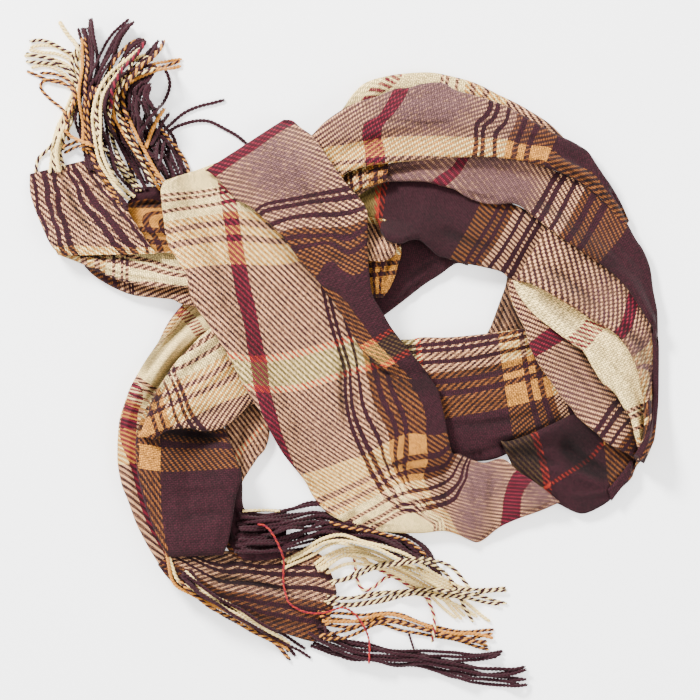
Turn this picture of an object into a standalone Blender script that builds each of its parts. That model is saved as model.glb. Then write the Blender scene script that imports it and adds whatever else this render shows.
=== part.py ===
"""A plaid cashmere scarf lying loosely knotted on a flat surface, seen from above.

The scarf is one long cloth with a twisted fringe at both ends. Every stretch of it that shows is a
rounded solid of folded cloth: its outline is a table of sections, and it is laid on top of the
stretches below it, in the order of the pile. The two fringes are strands rooted in a narrow strip.
Lengths are in metres; the sections are drawn in a plan grid of 0.6 mm squares.
"""

import math
from collections import namedtuple

import bmesh
import bpy
import numpy as np

MM = 0.001
PLAN_SQUARE = 0.6 * MM            # one square of the plan grid in which the outlines are drawn
PLAN_CENTRE = (343.5, 349.0)      # the square above the part's origin
CLOTH_GAP = 0.45 * MM             # air kept between two stretches that lie on each other
SECTION_STEP = 13.0 * MM          # the distance between the rings of a stretch
COLUMNS = 8                       # faces across the upper side of a stretch
LIP = 1.3 * MM                    # how far the folded layers at an edge stand out from the groove
MAP_CELL = 0.8 * MM               # the height map of the pile
MAP_HALF = 0.24                   # the map reaches this far from the origin each way
STRAND = 2.0 * MM                 # the thickness of a twisted strand of the fringe
STRAND_RINGS = 7                  # rings along a strand, after its root
STRIP_DEPTH = 2.4 * MM            # the strip that holds the roots of a fringe
STRIP_HEIGHT = 3.2 * MM
ROOT_SHARE = 0.68                 # how much of the pitch of the roots is strand
FLOOR_CLEARANCE = 0.4 * MM        # strands end this far above the floor

Section = namedtuple("Section", "left_x left_y right_x right_y thick")
Fold = namedtuple("Fold", "from_along from_across to_along to_across width height")
Route = namedtuple("Route", "near_x near_y mid_x mid_y far_x far_y tip_x tip_y")

BURGUNDY = (0.105, 0.032, 0.042)
CREAM = (0.72, 0.64, 0.44)
TAN = (0.58, 0.36, 0.15)
MARL = (0.30, 0.20, 0.19)
CRIMSON = (0.27, 0.02, 0.05)


def on_plan(x, y):
    """A plan square as a point on the table, in metres."""
    return np.array([(x - PLAN_CENTRE[0]) * PLAN_SQUARE, (PLAN_CENTRE[1] - y) * PLAN_SQUARE])


def smooth_through(points, count):
    """count points on a Catmull-Rom curve through the given ones, at even steps of its length."""
    points = np.asarray(points, float)
    padded = np.vstack([2 * points[0] - points[1], points, 2 * points[-1] - points[-2]])
    fine = []
    for a, b, c, d in zip(padded, padded[1:], padded[2:], padded[3:]):
        for t in np.linspace(0, 1, 12, endpoint=False):
            fine.append(0.5 * (2 * b + (c - a) * t + (2 * a - 5 * b + 4 * c - d) * t * t
                               + (3 * b - a - 3 * c + d) * t ** 3))
    fine = np.array(fine + [points[-1]])
    along = np.concatenate([[0], np.cumsum(np.linalg.norm(np.diff(fine, axis=0), axis=1))])
    at = np.linspace(0, along[-1], count)
    return np.stack([np.interp(at, along, fine[:, k]) for k in range(fine.shape[1])], axis=1)


class Pile:
    """What already lies on the table, as the height of its upper side over a square map."""

    def __init__(self):
        self.cells = int(2 * MAP_HALF / MAP_CELL)
        self.cloth = np.zeros((self.cells, self.cells))
        self.strands = np.zeros((self.cells, self.cells))
        self.strand_points = np.zeros((0, 3))

    def spots(self, plan):
        """Even samples inside each face of a plan of rows and columns: weights and map cells."""
        steps = np.linspace(0, 1, 14)
        u, v = (w.ravel() for w in np.meshgrid(steps, steps, indexing="ij"))
        weights = np.stack([(1 - u) * (1 - v), (1 - u) * v, u * (1 - v), u * v], axis=1)
        corners = np.stack([plan[:-1, :-1], plan[:-1, 1:], plan[1:, :-1], plan[1:, 1:]], axis=2)
        places = np.einsum("kw,rcwd->rckd", weights, corners)
        cell = np.clip(((places + MAP_HALF) / MAP_CELL).astype(int), 0, self.cells - 1)
        return weights, cell[..., 0], cell[..., 1]

    def widened(self, high):
        """A map with each cell raised to its highest neighbour, which keeps the gap true."""
        for axis in (0, 1):
            high = np.maximum(high, np.maximum(np.roll(high, 1, axis), np.roll(high, -1, axis)))
        return high

    def laid(self, plan, rounds=3):
        """The underside of a stretch with this plan: on the table, or just above what is there."""
        base = np.zeros(plan.shape[:2])
        high = self.widened(np.maximum(self.cloth, self.strands))
        weights, ix, iy = self.spots(plan)
        below = high[ix, iy]
        need = np.where(below > 0, below + CLOTH_GAP, 0)
        for turn in range(rounds):
            if turn:
                base = relaxed(base)
            corners = np.stack([base[:-1, :-1], base[:-1, 1:], base[1:, :-1], base[1:, 1:]], axis=2)
            lack = (need - np.einsum("kw,rcw->rck", weights, corners)).max(axis=2).clip(0)
            raised = np.zeros_like(base)
            for rows, columns in ((slice(0, -1), slice(0, -1)), (slice(0, -1), slice(1, None)),
                                  (slice(1, None), slice(0, -1)), (slice(1, None), slice(1, None))):
                raised[rows, columns] = np.maximum(raised[rows, columns], lack)
            base = base + raised
        return base

    def add(self, plan, top, layer=None):
        weights, ix, iy = self.spots(plan)
        corners = np.stack([top[:-1, :-1], top[:-1, 1:], top[1:, :-1], top[1:, 1:]], axis=2)
        layer = self.cloth if layer is None else layer
        np.maximum.at(layer, (ix, iy), np.einsum("kw,rcw->rck", weights, corners))


def relaxed(base):
    """The underside a little smoother, so that the cloth comes down from a stretch below in a slope."""
    padded = np.pad(base, 1, mode="edge")
    around = (padded[:-2, 1:-1] + padded[2:, 1:-1] + padded[1:-1, :-2] + padded[1:-1, 2:]) / 4
    return np.where(base > 0, 0.5 * base + 0.5 * around, 0.35 * around)


def fold_height(folds, along, across):
    """The height that the large folds of a stretch add at a point of its upper side."""
    total = 0.0
    for fold in folds:
        run = np.array([fold.to_along - fold.from_along, fold.to_across - fold.from_across])
        place = np.array([along - fold.from_along, across - fold.from_across])
        share = float(np.clip(place @ run / max(run @ run, 1e-9), -0.15, 1.15))
        line_across = fold.from_across + share * run[1]
        fade = math.sin(math.pi * min(max((share + 0.15) / 1.3, 0), 1)) ** 0.6
        off = (across - line_across) / fold.width
        if -0.15 < share < 1.15:
            total += fold.height * fade * math.exp(-off * off)
    return total


def stretch(pile, name, colour, sections, folds=(), columns=COLUMNS, crown=0.3):
    """One stretch of folded cloth: a rounded solid through its sections, laid on the pile."""
    left = np.array([on_plan(s.left_x, s.left_y) for s in sections])
    right = np.array([on_plan(s.right_x, s.right_y) for s in sections])
    thick = np.array([[s.thick * MM] for s in sections])
    length = np.linalg.norm(np.diff((left + right) / 2, axis=0), axis=1).sum()
    rows = max(4, round(length / SECTION_STEP) + 1)
    table = smooth_through(np.hstack([left, right, thick]), rows)
    left, right, thick = table[:, 0:2], table[:, 2:4], table[:, 4]
    spread = 0.5 - 0.5 * np.cos(np.pi * np.linspace(0, 1, columns + 1))
    spread = 0.45 * spread + 0.55 * np.linspace(0, 1, columns + 1)
    plan = left[:, None] + (right - left)[:, None] * spread[None, :, None]
    base = pile.laid(plan)
    top = np.empty_like(base)
    for r in range(rows):
        for c, share in enumerate(spread):
            side = abs(2 * share - 1)
            rise = 1 - crown * side ** 3
            bump = fold_height(folds, r / (rows - 1), share) * MM * (1 - side ** 6)
            top[r, c] = base[r, c] + max(thick[r] * rise + bump, 0.35 * thick[r])
    pile.add(plan, top)
    return rolled_solid(name, colour, left, right, plan, base, top)


def rolled_solid(name, colour, left, right, plan, base, top):
    """The closed solid: a grid rolled round the stretch, with two lips of cloth along each edge."""
    rows, columns = base.shape[0], base.shape[1] - 1
    rings = []
    for r in range(rows):
        across = (right[r] - left[r]) / max(np.linalg.norm(right[r] - left[r]), 1e-9)
        inset = min(LIP, 0.12 * np.linalg.norm(right[r] - left[r]))
        ring = [(*plan[r, c], base[r, c]) for c in range(1, columns)]
        for c, way in ((columns, 1), (0, -1)):
            deep = top[r, c] - base[r, c]
            edge = plan[r, c]
            lips = [(*(edge - way * 0.7 * inset * across), base[r, c]),
                    (*edge, base[r, c] + 0.24 * deep),
                    (*(edge - way * 1.6 * inset * across), base[r, c] + 0.46 * deep),
                    (*(edge - way * 0.1 * inset * across), base[r, c] + 0.68 * deep),
                    (*(edge - way * 0.9 * inset * across), base[r, c] + deep)]
            ring += lips if way == 1 else lips[::-1]
            if way == 1:
                ring += [(*plan[r, c], top[r, c]) for c in range(columns - 1, 0, -1)]
        rings.append(ring)
    bm = bmesh.new()
    loops = [[bm.verts.new(point) for point in ring] for ring in rings]
    around = len(loops[0])
    for lower, upper in zip(loops, loops[1:]):
        for k in range(around):
            bm.faces.new((lower[k], lower[(k + 1) % around], upper[(k + 1) % around], upper[k]))
    for loop in (loops[0], loops[-1]):
        bm.faces.new(loop)
    bmesh.ops.triangulate(bm, faces=[f for f in bm.faces if len(f.verts) > 4])
    bmesh.ops.recalc_face_normals(bm, faces=bm.faces)
    if bm.calc_volume(signed=True) < 0:
        bmesh.ops.reverse_faces(bm, faces=bm.faces)
    return finished(name, colour, bm)


def turned(vectors):
    """Plan vectors turned a quarter to the left."""
    return np.stack([-vectors[..., 1], vectors[..., 0]], axis=-1)


def unit(vectors):
    return vectors / np.maximum(np.linalg.norm(vectors, axis=-1, keepdims=True), 1e-9)


def strand_base(pile, cloth, path, root_z):
    """Heights of the underside along a strand: clear of the floor, the cloth and earlier strands."""
    share = np.linspace(0, 1, 18)
    places = path[:-1, None] + (path[1:] - path[:-1])[:, None] * share[None, :, None]
    need = np.full(places.shape[:2], FLOOR_CLEARANCE)
    for way in (-0.5, 0, 0.5):
        aside = turned(unit(path[1:] - path[:-1]))[:, None] * way * STRAND
        cell = ((places + aside + MAP_HALF) / MAP_CELL).astype(int)
        below = cloth[cell[..., 0], cell[..., 1]]
        need = np.maximum(need, np.where(below > 0, below + CLOTH_GAP, 0))
    if len(pile.strand_points):
        reach = np.linalg.norm(places[:, :, None] - pile.strand_points[None, None, :, :2], axis=3)
        over = np.where(reach < STRAND + 0.25 * MM, pile.strand_points[:, 2] + 0.3 * MM, 0).max(axis=2)
        over[0, :6] = 0
        need = np.maximum(need, over)
    base = np.full(len(path), FLOOR_CLEARANCE)
    base[0] = root_z
    for turn in range(4):
        lack = (need - (base[:-1, None] * (1 - share) + base[1:, None] * share)).max(axis=1).clip(0)
        if turn:
            lack *= 1.02
        raised = np.zeros_like(base)
        raised[:-1] = lack
        raised[1:] = np.maximum(raised[1:], lack)
        raised[0] = 0
        base = base + raised
    return base, places, share


def fringe(pile, name, colour, edge, routes):
    """Strands rooted in a narrow strip; edge is the strip's back, and they leave on its left."""
    count = len(routes)
    fine = smooth_through([on_plan(*point) for point in edge], 200)
    stops = [0.0]
    for k in range(count):
        stops += [(k + 0.5 - ROOT_SHARE / 2) / count, (k + 0.5 + ROOT_SHARE / 2) / count]
    at = np.array(stops + [1.0]) * 199
    back = np.stack([np.interp(at, np.arange(200), fine[:, k]) for k in (0, 1)], axis=1)
    outward = turned(unit(np.gradient(back, axis=0)))
    front = back + outward * STRIP_DEPTH
    strip = np.stack([back, front], axis=1)
    base = pile.laid(strip)
    base = np.full_like(base, base.max())
    cloth = pile.widened(pile.cloth)
    low = base[0, 0] + (STRIP_HEIGHT - STRAND) / 2
    bm = bmesh.new()
    loops = []
    for b, f in zip(back, front):
        floor = base[0, 0]
        ring = [(*b, floor), (*f, floor), (*f, low), (*f, low + STRAND), (*f, floor + STRIP_HEIGHT),
                (*b, floor + STRIP_HEIGHT)]
        loops.append([bm.verts.new(point) for point in ring])
    for j, (one, two) in enumerate(zip(loops, loops[1:])):
        for k in range(6):
            if not (k == 2 and j % 2):
                bm.faces.new((one[k], one[(k + 1) % 6], two[(k + 1) % 6], two[k]))
    for loop in (loops[0], loops[-1]):
        bm.faces.new(loop)
    for k, route in enumerate(routes):
        one, two = loops[2 * k + 1], loops[2 * k + 2]
        root = (front[2 * k + 1] + front[2 * k + 2]) / 2
        away = unit(outward[2 * k + 1] + outward[2 * k + 2])
        through = [root, root + away * 3 * MM] + [on_plan(*route[i:i + 2]) for i in (0, 2, 4, 6)]
        path = smooth_through(through, STRAND_RINGS + 1)
        heights, places, share = strand_base(pile, cloth, path, low)
        ring = [one[2], two[2], two[3], one[3]]
        ways = unit(np.gradient(path, axis=0))
        for r in range(1, STRAND_RINGS + 1):
            half = turned(ways[r]) * STRAND / 2 * (1 if r < STRAND_RINGS else 0.75)
            corners = [(*(path[r] + half), heights[r]), (*(path[r] - half), heights[r]),
                       (*(path[r] - half), heights[r] + STRAND), (*(path[r] + half), heights[r] + STRAND)]
            new = [bm.verts.new(corner) for corner in corners]
            for i in range(4):
                bm.faces.new((ring[i], ring[(i + 1) % 4], new[(i + 1) % 4], new[i]))
            ring = new
        bm.faces.new(ring)
        tops = heights[:-1, None] * (1 - share) + heights[1:, None] * share + STRAND
        points = np.concatenate([places, tops[..., None]], axis=2).reshape(-1, 3)
        pile.strand_points = np.vstack([pile.strand_points, points])
        sides = np.stack([path + turned(ways) * STRAND / 2, path - turned(ways) * STRAND / 2], axis=1)
        pile.add(sides, np.repeat((heights + STRAND)[:, None], 2, axis=1), pile.strands)
    pile.add(strip, base + STRIP_HEIGHT)
    bmesh.ops.triangulate(bm, faces=[f for f in bm.faces if len(f.verts) > 4])
    bmesh.ops.recalc_face_normals(bm, faces=bm.faces)
    if bm.calc_volume(signed=True) < 0:
        bmesh.ops.reverse_faces(bm, faces=bm.faces)
    return finished(name, colour, bm)


def routes(*rows):
    return [Route(*row) for row in rows]


def finished(name, colour, bm):
    mesh = bpy.data.meshes.new(name)
    bm.to_mesh(mesh)
    bm.free()
    mesh.shade_smooth()
    mesh.set_sharp_from_angle(angle=math.radians(50))
    mesh.materials.append(cloth_material(name, colour))
    made = bpy.data.objects.new(name, mesh)
    bpy.context.scene.collection.objects.link(made)
    return made


def cloth_material(name, colour):
    material = bpy.data.materials.new(name + "_wool")
    material.use_nodes = True
    shader = material.node_tree.nodes["Principled BSDF"]
    shader.inputs["Base Color"].default_value = (*colour, 1)
    shader.inputs["Roughness"].default_value = 0.9
    shader.inputs["Metallic"].default_value = 0.0
    return material


def sections(*rows):
    return [Section(*row) for row in rows]


# Each table lists left edge, right edge in plan squares, and the thickness of the folded cloth in mm.
def lay_cloth(pile):
    stretch(pile, "loop_crest", CREAM, sections(
        (332, 118, 356, 132, 7),
        (349, 93, 374, 120, 8),
        (376, 77, 390, 114, 8),
        (408, 73, 410, 112, 8),
        (442, 77, 434, 114, 8),
        (477, 88, 463, 120, 8),
        (511, 101, 493, 132, 8),
        (541, 121, 520, 147, 7),
        (562, 141, 545, 160, 6)))
    stretch(pile, "loop_under", BURGUNDY, sections(
        (468, 238, 468, 267, 7),
        (440, 230, 446, 269, 8),
        (415, 230, 425, 278, 8),
        (395, 238, 403, 294, 8),
        (374, 252, 385, 311, 8),
        (352, 272, 366, 328, 8)))
    stretch(pile, "loop_tuck", MARL, sections(
        (506, 284, 520, 283, 5),
        (499, 300, 524, 299, 6.5),
        (491, 317, 527, 317, 7),
        (485, 337, 530, 338, 6)), columns=6)
    stretch(pile, "tail_outer", CREAM, sections(
        (206, 290, 238, 326, 9),
        (183, 303, 216, 342, 11),
        (158, 341, 192, 368, 12),
        (139, 378, 172, 394, 12),
        (126, 405, 162, 414, 12),
        (119, 432, 156, 438, 11),
        (118, 462, 155, 466, 11),
        (123, 492, 160, 490, 10),
        (136, 525, 170, 518, 10),
        (149, 553, 182, 542, 9),
        (163, 573, 196, 560, 8)),
        folds=[Fold(0.05, 0.42, 0.45, 0.5, 0.13, -3.5)])
    fringe(pile, "fringe_corner", TAN, ((188, 570), (181, 579), (174, 587)), routes(
        (205, 589, 235, 605, 265, 624, 291, 641),
        (203, 595, 232, 611, 258, 628, 284, 646),
        (200, 600, 232, 618, 266, 637, 313, 657),
        (196, 603, 230, 624, 262, 643, 291, 658)))
    stretch(pile, "tail_side", MARL, sections(
        (222, 392, 268, 398, 8),
        (224, 420, 270, 430, 9),
        (228, 450, 257, 456, 9),
        (234, 474, 246, 478, 7)))
    stretch(pile, "tail_end", MARL, sections(
        (184, 538, 158, 566, 8),
        (208, 548, 186, 590, 10),
        (236, 552, 218, 611, 10),
        (264, 552, 254, 629, 9),
        (294, 552, 290, 641, 8),
        (318, 560, 314, 641, 6),
        (332, 575, 328, 632, 4)),
        folds=[Fold(0.2, 0.3, 0.95, 0.25, 0.09, 2.2), Fold(0.2, 0.62, 0.95, 0.6, 0.09, 1.8)],
        columns=10)
    stretch(pile, "tail_layer", BURGUNDY, sections(
        (222, 462, 243, 468, 8),
        (222, 490, 243, 486, 9),
        (224, 517, 243, 502, 9),
        (232, 540, 250, 512, 9),
        (248, 553, 264, 513, 8),
        (266, 558, 275, 512, 6),
        (284, 557, 285, 511, 4.5)))
    fringe(pile, "fringe_dark", BURGUNDY, ((286.5, 510), (286.5, 533), (286.5, 558)), routes(
        (318, 502, 352, 514, 395, 530, 436, 555),
        (318, 507, 352, 519, 390, 534, 430, 560),
        (318, 512, 350, 524, 386, 539, 424, 565),
        (318, 517, 348, 530, 382, 544, 440, 579),
        (318, 522, 346, 535, 378, 550, 432, 584),
        (317, 527, 343, 541, 374, 556, 425, 589),
        (316, 532, 340, 547, 368, 562, 418, 594),
        (315, 538, 338, 554, 362, 566, 405, 596),
        (312, 544, 335, 562, 357, 572, 395, 600)))
    fringe(pile, "fringe_lower", CREAM, ((324, 553), (334.5, 580), (338, 600), (334, 620), (322, 643)), routes(
        (350, 543, 385, 547, 425, 570, 464, 603),
        (356, 550, 392, 560, 430, 583, 487, 622),
        (358, 558, 388, 569, 420, 590, 463, 617),
        (362, 573, 400, 557, 442, 558, 471, 591),
        (357, 590, 385, 577, 422, 592, 434, 643),
        (362, 597, 400, 590, 455, 593, 508, 589),
        (364, 602, 405, 598, 460, 597, 505, 606),
        (364, 610, 400, 617, 445, 632, 494, 630),
        (364, 617, 402, 625, 440, 639, 492, 648),
        (364, 624, 400, 632, 425, 640, 452, 637),
        (364, 630, 400, 641, 440, 640, 482, 631),
        (364, 636, 402, 647, 450, 660, 502, 653),
        (362, 642, 400, 653, 450, 668, 530, 665),
        (360, 648, 398, 659, 450, 673, 527, 672),
        (357, 653, 395, 664, 445, 677, 526, 679)))
    stretch(pile, "tail_panel", BURGUNDY, sections(
        (152, 398, 214, 408, 8),
        (141, 425, 226, 430, 9),
        (136, 450, 236, 455, 10),
        (138, 478, 241, 478, 10),
        (147, 508, 236, 508, 9),
        (157, 536, 229, 538, 8),
        (170, 560, 226, 556, 6)),
        folds=[Fold(0.3, 0.2, 0.75, 0.25, 0.12, 1.2)])
    stretch(pile, "tail_puff", TAN, sections(
        (226, 318, 268, 402, 9),
        (208, 332, 252, 408, 10),
        (192, 345, 238, 419, 11),
        (177, 360, 221, 429, 11),
        (165, 379, 203, 433, 11),
        (155, 398, 184, 431, 10),
        (146, 416, 168, 431, 9),
        (140, 432, 157, 440, 7)),
        folds=[Fold(0.1, 0.12, 0.6, 0.1, 0.1, 1.5)])
    stretch(pile, "tail_roll_under", MARL, sections(
        (84, 260, 88, 268, 5),
        (102, 266, 106, 285, 7),
        (125, 270, 132, 297, 8),
        (152, 273, 160, 302, 8),
        (176, 276, 184, 304, 8),
        (202, 282, 210, 308, 7)))
    stretch(pile, "tail_roll", CREAM, sections(
        (54, 243, 60, 256, 6),
        (84, 246, 87, 266, 8),
        (111, 246, 116, 278, 9),
        (141, 246, 147, 286, 9),
        (168, 246, 176, 289, 9),
        (200, 252, 206, 290, 8)),
        folds=[Fold(0.25, 0.35, 0.95, 0.45, 0.12, -1.6)])
    stretch(pile, "tail_knob", TAN, sections(
        (133, 188, 168, 184, 9),
        (128, 202, 170, 202, 10),
        (122, 218, 172, 220, 10),
        (130, 235, 176, 237, 9),
        (144, 252, 182, 254, 6)),
        folds=[Fold(0.33, 0.0, 0.33, 1.0, 0.4, -1.2)])
    stretch(pile, "tail_lobe", BURGUNDY, sections(
        (30, 173, 90, 158, 3),
        (30, 195, 106, 180, 4.5),
        (37, 214, 122, 203, 6),
        (46, 231, 137, 224, 7),
        (56, 247, 152, 246, 6),
        (66, 257, 160, 256, 4)),
        folds=[Fold(0.1, 0.45, 0.9, 0.55, 0.16, 1.8), Fold(0.1, 0.3, 0.9, 0.36, 0.07, -1.6)])
    fringe(pile, "fringe_upper_left", CREAM, ((30, 171.8), (60, 164.6), (89, 157)), routes(
        (40, 154, 57, 130, 72, 95, 27, 62),
        (48, 152, 62, 130, 76, 90, 28, 55),
        (56, 150, 67, 128, 79, 82, 28, 48),
        (61, 150, 71, 126, 82, 72, 60, 24),
        (67, 148, 60, 112, 40, 92, 62, 80),
        (74, 146, 76, 120, 82, 88, 84, 48),
        (82, 142, 82, 118, 88, 88, 80, 36)))
    fringe(pile, "fringe_upper_back", BURGUNDY, ((100, 170), (135, 178), (178, 174)), routes(
        (98, 148, 88, 120, 82, 75, 82, 27),
        (101, 148, 93, 118, 88, 75, 91, 21),
        (105, 148, 97, 115, 98, 75, 127, 18),
        (112, 150, 103, 118, 108, 80, 133, 26),
        (120, 152, 110, 122, 118, 82, 144, 42),
        (128, 153, 119, 124, 130, 84, 147, 43),
        (136, 154, 128, 126, 139, 90, 165, 48),
        (143, 153, 136, 122, 158, 104, 166, 72),
        (153, 154, 150, 130, 178, 112, 223, 101),
        (164, 157, 163, 137, 198, 118, 243, 144),
        (177, 162, 176, 150, 166, 128, 172, 118)))
    fringe(pile, "fringe_upper", CREAM, ((110, 194), (138, 183), (170, 180)), routes(
        (104, 165, 97, 130, 105, 88, 132, 50),
        (110, 164, 102, 132, 112, 90, 141, 54),
        (116, 163, 107, 132, 118, 92, 153, 66),
        (122, 162, 113, 130, 126, 92, 163, 42),
        (129, 162, 120, 128, 132, 94, 172, 66),
        (136, 163, 127, 130, 140, 100, 183, 62),
        (143, 164, 134, 135, 139, 112, 150, 90),
        (151, 165, 143, 140, 148, 122, 168, 112),
        (162, 166, 158, 150, 164, 138, 186, 172)))
    stretch(pile, "band_middle", TAN, sections(
        (384, 350, 402, 438, 9),
        (411, 338, 430, 452, 10),
        (440, 337, 455, 454, 10),
        (465, 336, 482, 449, 10),
        (490, 334, 510, 441, 10),
        (512, 330, 541, 430, 10),
        (532, 326, 570, 417, 9),
        (550, 322, 592, 404, 8)),
        folds=[Fold(0.1, 0.18, 0.9, 0.16, 0.1, 1.2), Fold(0.1, 0.75, 0.9, 0.7, 0.12, 1.2)],
        columns=10)
    stretch(pile, "turn_inside", BURGUNDY, sections(
        (500, 436, 516, 470, 6),
        (525, 426, 540, 490, 8),
        (550, 416, 560, 504, 9),
        (575, 412, 582, 514, 9),
        (598, 422, 603, 507, 9),
        (618, 434, 618, 493, 8),
        (633, 446, 630, 480, 7)),
        folds=[Fold(0.2, 0.35, 0.9, 0.4, 0.22, -3.5), Fold(0.25, 0.72, 0.85, 0.68, 0.09, 2.0)])
    stretch(pile, "knot_tan", TAN, sections(
        (362, 250, 402, 245, 8),
        (363, 267, 398, 264, 9),
        (365, 284, 393, 281, 9),
        (368, 298, 384, 296, 6)))
    stretch(pile, "knot_marl", MARL, sections(
        (360, 228, 378, 230, 6),
        (358, 239, 390, 241, 8),
        (358, 250, 395, 249, 8),
        (361, 261, 385, 262, 5)))
    stretch(pile, "loop_inner", BURGUNDY, sections(
        (358, 198, 362, 230, 6),
        (374, 188, 376, 234, 8),
        (396, 180, 396, 243, 9),
        (425, 180, 421, 241, 9),
        (456, 188, 440, 258, 9),
        (490, 197, 470, 266, 9),
        (520, 207, 500, 273, 9),
        (548, 224, 520, 285, 8)),
        folds=[Fold(0.1, 0.35, 0.6, 0.5, 0.16, 1.6)])
    stretch(pile, "twist_front", MARL, sections(
        (508, 284, 518, 281, 5),
        (509, 302, 532, 299, 7),
        (516, 322, 554, 319, 8),
        (527, 344, 580, 342, 8),
        (540, 368, 600, 362, 8),
        (556, 392, 614, 382, 8),
        (573, 416, 624, 397, 8),
        (592, 433, 634, 414, 8),
        (611, 447, 639, 431, 7),
        (630, 458, 640, 447, 5)))
    stretch(pile, "twist_lens", CREAM, sections(
        (515, 282, 522, 280, 4),
        (526, 301, 546, 284, 7),
        (546, 323, 570, 297, 8),
        (570, 346, 594, 314, 8),
        (591, 372, 618, 330, 8),
        (607, 395, 634, 350, 8),
        (622, 416, 644, 380, 8),
        (634, 437, 647, 412, 7),
        (641, 455, 647, 440, 5),
        (636, 466, 642, 458, 3)))
    stretch(pile, "twist_back", MARL, sections(
        (548, 224, 521, 284, 8),
        (580, 246, 546, 290, 9),
        (610, 270, 572, 305, 9),
        (634, 294, 594, 320, 9),
        (649, 318, 613, 331, 9),
        (655, 348, 630, 350, 8),
        (656, 380, 640, 376, 7),
        (655, 410, 645, 406, 6),
        (651, 438, 644, 436, 5),
        (641, 462, 635, 459, 4)),
        folds=[Fold(0.1, 0.3, 0.55, 0.35, 0.14, 1.6), Fold(0.3, 0.75, 0.6, 0.7, 0.12, -1.5)])
    stretch(pile, "loop_middle", MARL, sections(
        (352, 188, 356, 198, 4),
        (375, 170, 380, 190, 6),
        (402, 160, 404, 181, 7),
        (436, 154, 438, 183, 8),
        (470, 152, 471, 194, 8),
        (505, 154, 500, 202, 8),
        (538, 160, 528, 212, 8),
        (571, 172, 551, 230, 8),
        (598, 187, 579, 250, 9),
        (618, 206, 604, 268, 9),
        (635, 232, 622, 284, 9),
        (645, 258, 634, 300, 8),
        (652, 284, 644, 316, 7),
        (656, 310, 651, 326, 5),
        (657, 334, 654, 338, 4)),
        folds=[Fold(0.1, 0.12, 0.85, 0.12, 0.09, 1.6)])
    stretch(pile, "turn_rim", BURGUNDY, sections(
        (654, 322, 650, 330, 4),
        (658, 360, 652, 362, 6),
        (658, 400, 651, 400, 7),
        (655, 432, 647, 428, 7),
        (646, 452, 638, 445, 7),
        (632, 475, 625, 467, 6),
        (614, 497, 607, 489, 4)), columns=4)
    stretch(pile, "crest_tuck", TAN, sections(
        (340, 170, 346, 196, 4),
        (364, 163, 362, 190, 5),
        (389, 158, 386, 184, 4)), columns=6)
    stretch(pile, "loop_top", MARL, sections(
        (300, 141, 332, 190, 8),
        (325, 119, 352, 176, 10),
        (350, 106, 372, 168, 11),
        (386, 92, 398, 163, 12),
        (430, 84, 430, 160, 12),
        (470, 93, 467, 158, 12),
        (506, 108, 504, 161, 11),
        (540, 127, 534, 163, 10),
        (570, 142, 558, 168, 10),
        (590, 156, 579, 176, 8),
        (603, 177, 596, 186, 6),
        (611, 194, 607, 197, 4)),
        folds=[Fold(0.1, 0.45, 0.6, 0.5, 0.14, 1.5), Fold(0.25, 0.33, 0.75, 0.4, 0.06, -1.2)],
        columns=10)
    stretch(pile, "band_front", MARL, sections(
        (163, 184, 292, 141, 4),
        (166, 202, 316, 171, 9),
        (169, 215, 330, 188, 10),
        (181, 251, 350, 230, 10),
        (197, 291, 360, 275, 10),
        (216, 332, 376, 315, 10),
        (238, 375, 404, 350, 10),
        (263, 418, 428, 380, 10),
        (292, 459, 443, 415, 10),
        (327, 493, 450, 442, 10),
        (374, 521, 456, 453, 10),
        (424, 533, 463, 457, 10),
        (465, 541, 472, 459, 10),
        (490, 529, 489, 457, 10),
        (513, 517, 508, 463, 9),
        (537, 506, 528, 477, 8),
        (560, 499, 549, 490, 5)),
        folds=[Fold(0.3, 0.86, 0.62, 0.5, 0.06, -2.5), Fold(0.05, 0.25, 0.5, 0.28, 0.2, 1.5),
               Fold(0.68, 0.55, 0.78, 0.5, 0.1, -2.0)], columns=12)
    stretch(pile, "band_fold", BURGUNDY, sections(
        (207, 172, 283, 119, 3),
        (219, 183, 300, 133, 5.5),
        (232, 196, 318, 150, 6.5),
        (258, 223, 346, 187, 7),
        (280, 250, 367, 223, 7),
        (300, 272, 371, 255, 7),
        (320, 292, 374, 287, 7),
        (338, 313, 385, 317, 6),
        (351, 336, 400, 340, 6),
        (363, 357, 415, 358, 5),
        (378, 373, 428, 379, 4),
        (398, 390, 437, 396, 2.5)),
        folds=[Fold(0.1, 0.3, 0.5, 0.6, 0.12, 1.2), Fold(0.25, 0.75, 0.6, 0.6, 0.1, -1.0)], columns=9)


def main():
    for old in list(bpy.data.objects):
        bpy.data.objects.remove(old)
    pile = Pile()
    lay_cloth(pile)


main()
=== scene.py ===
import math

import bmesh
import bpy
import numpy as np
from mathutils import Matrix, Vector
from mathutils.bvhtree import BVHTree


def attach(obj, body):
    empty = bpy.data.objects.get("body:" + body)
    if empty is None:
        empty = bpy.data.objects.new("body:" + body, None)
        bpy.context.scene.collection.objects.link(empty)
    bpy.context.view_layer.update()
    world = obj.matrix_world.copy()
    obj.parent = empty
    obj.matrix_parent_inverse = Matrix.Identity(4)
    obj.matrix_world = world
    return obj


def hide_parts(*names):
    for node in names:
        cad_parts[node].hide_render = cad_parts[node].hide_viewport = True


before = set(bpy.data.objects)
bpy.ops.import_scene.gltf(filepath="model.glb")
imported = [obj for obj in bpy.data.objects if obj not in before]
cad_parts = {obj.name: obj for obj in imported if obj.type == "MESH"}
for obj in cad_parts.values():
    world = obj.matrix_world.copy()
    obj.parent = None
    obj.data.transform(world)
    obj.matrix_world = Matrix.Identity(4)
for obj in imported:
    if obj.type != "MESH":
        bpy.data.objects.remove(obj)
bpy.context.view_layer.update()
print("frame loaded")

# the plan is drawn in squares of 0.6 mm, x to the right and y down, as the scarf is seen from above
square = 0.0006
planCentre = (343.5, 349.0)
mm = 0.001
toMm = 1 / mm


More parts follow.
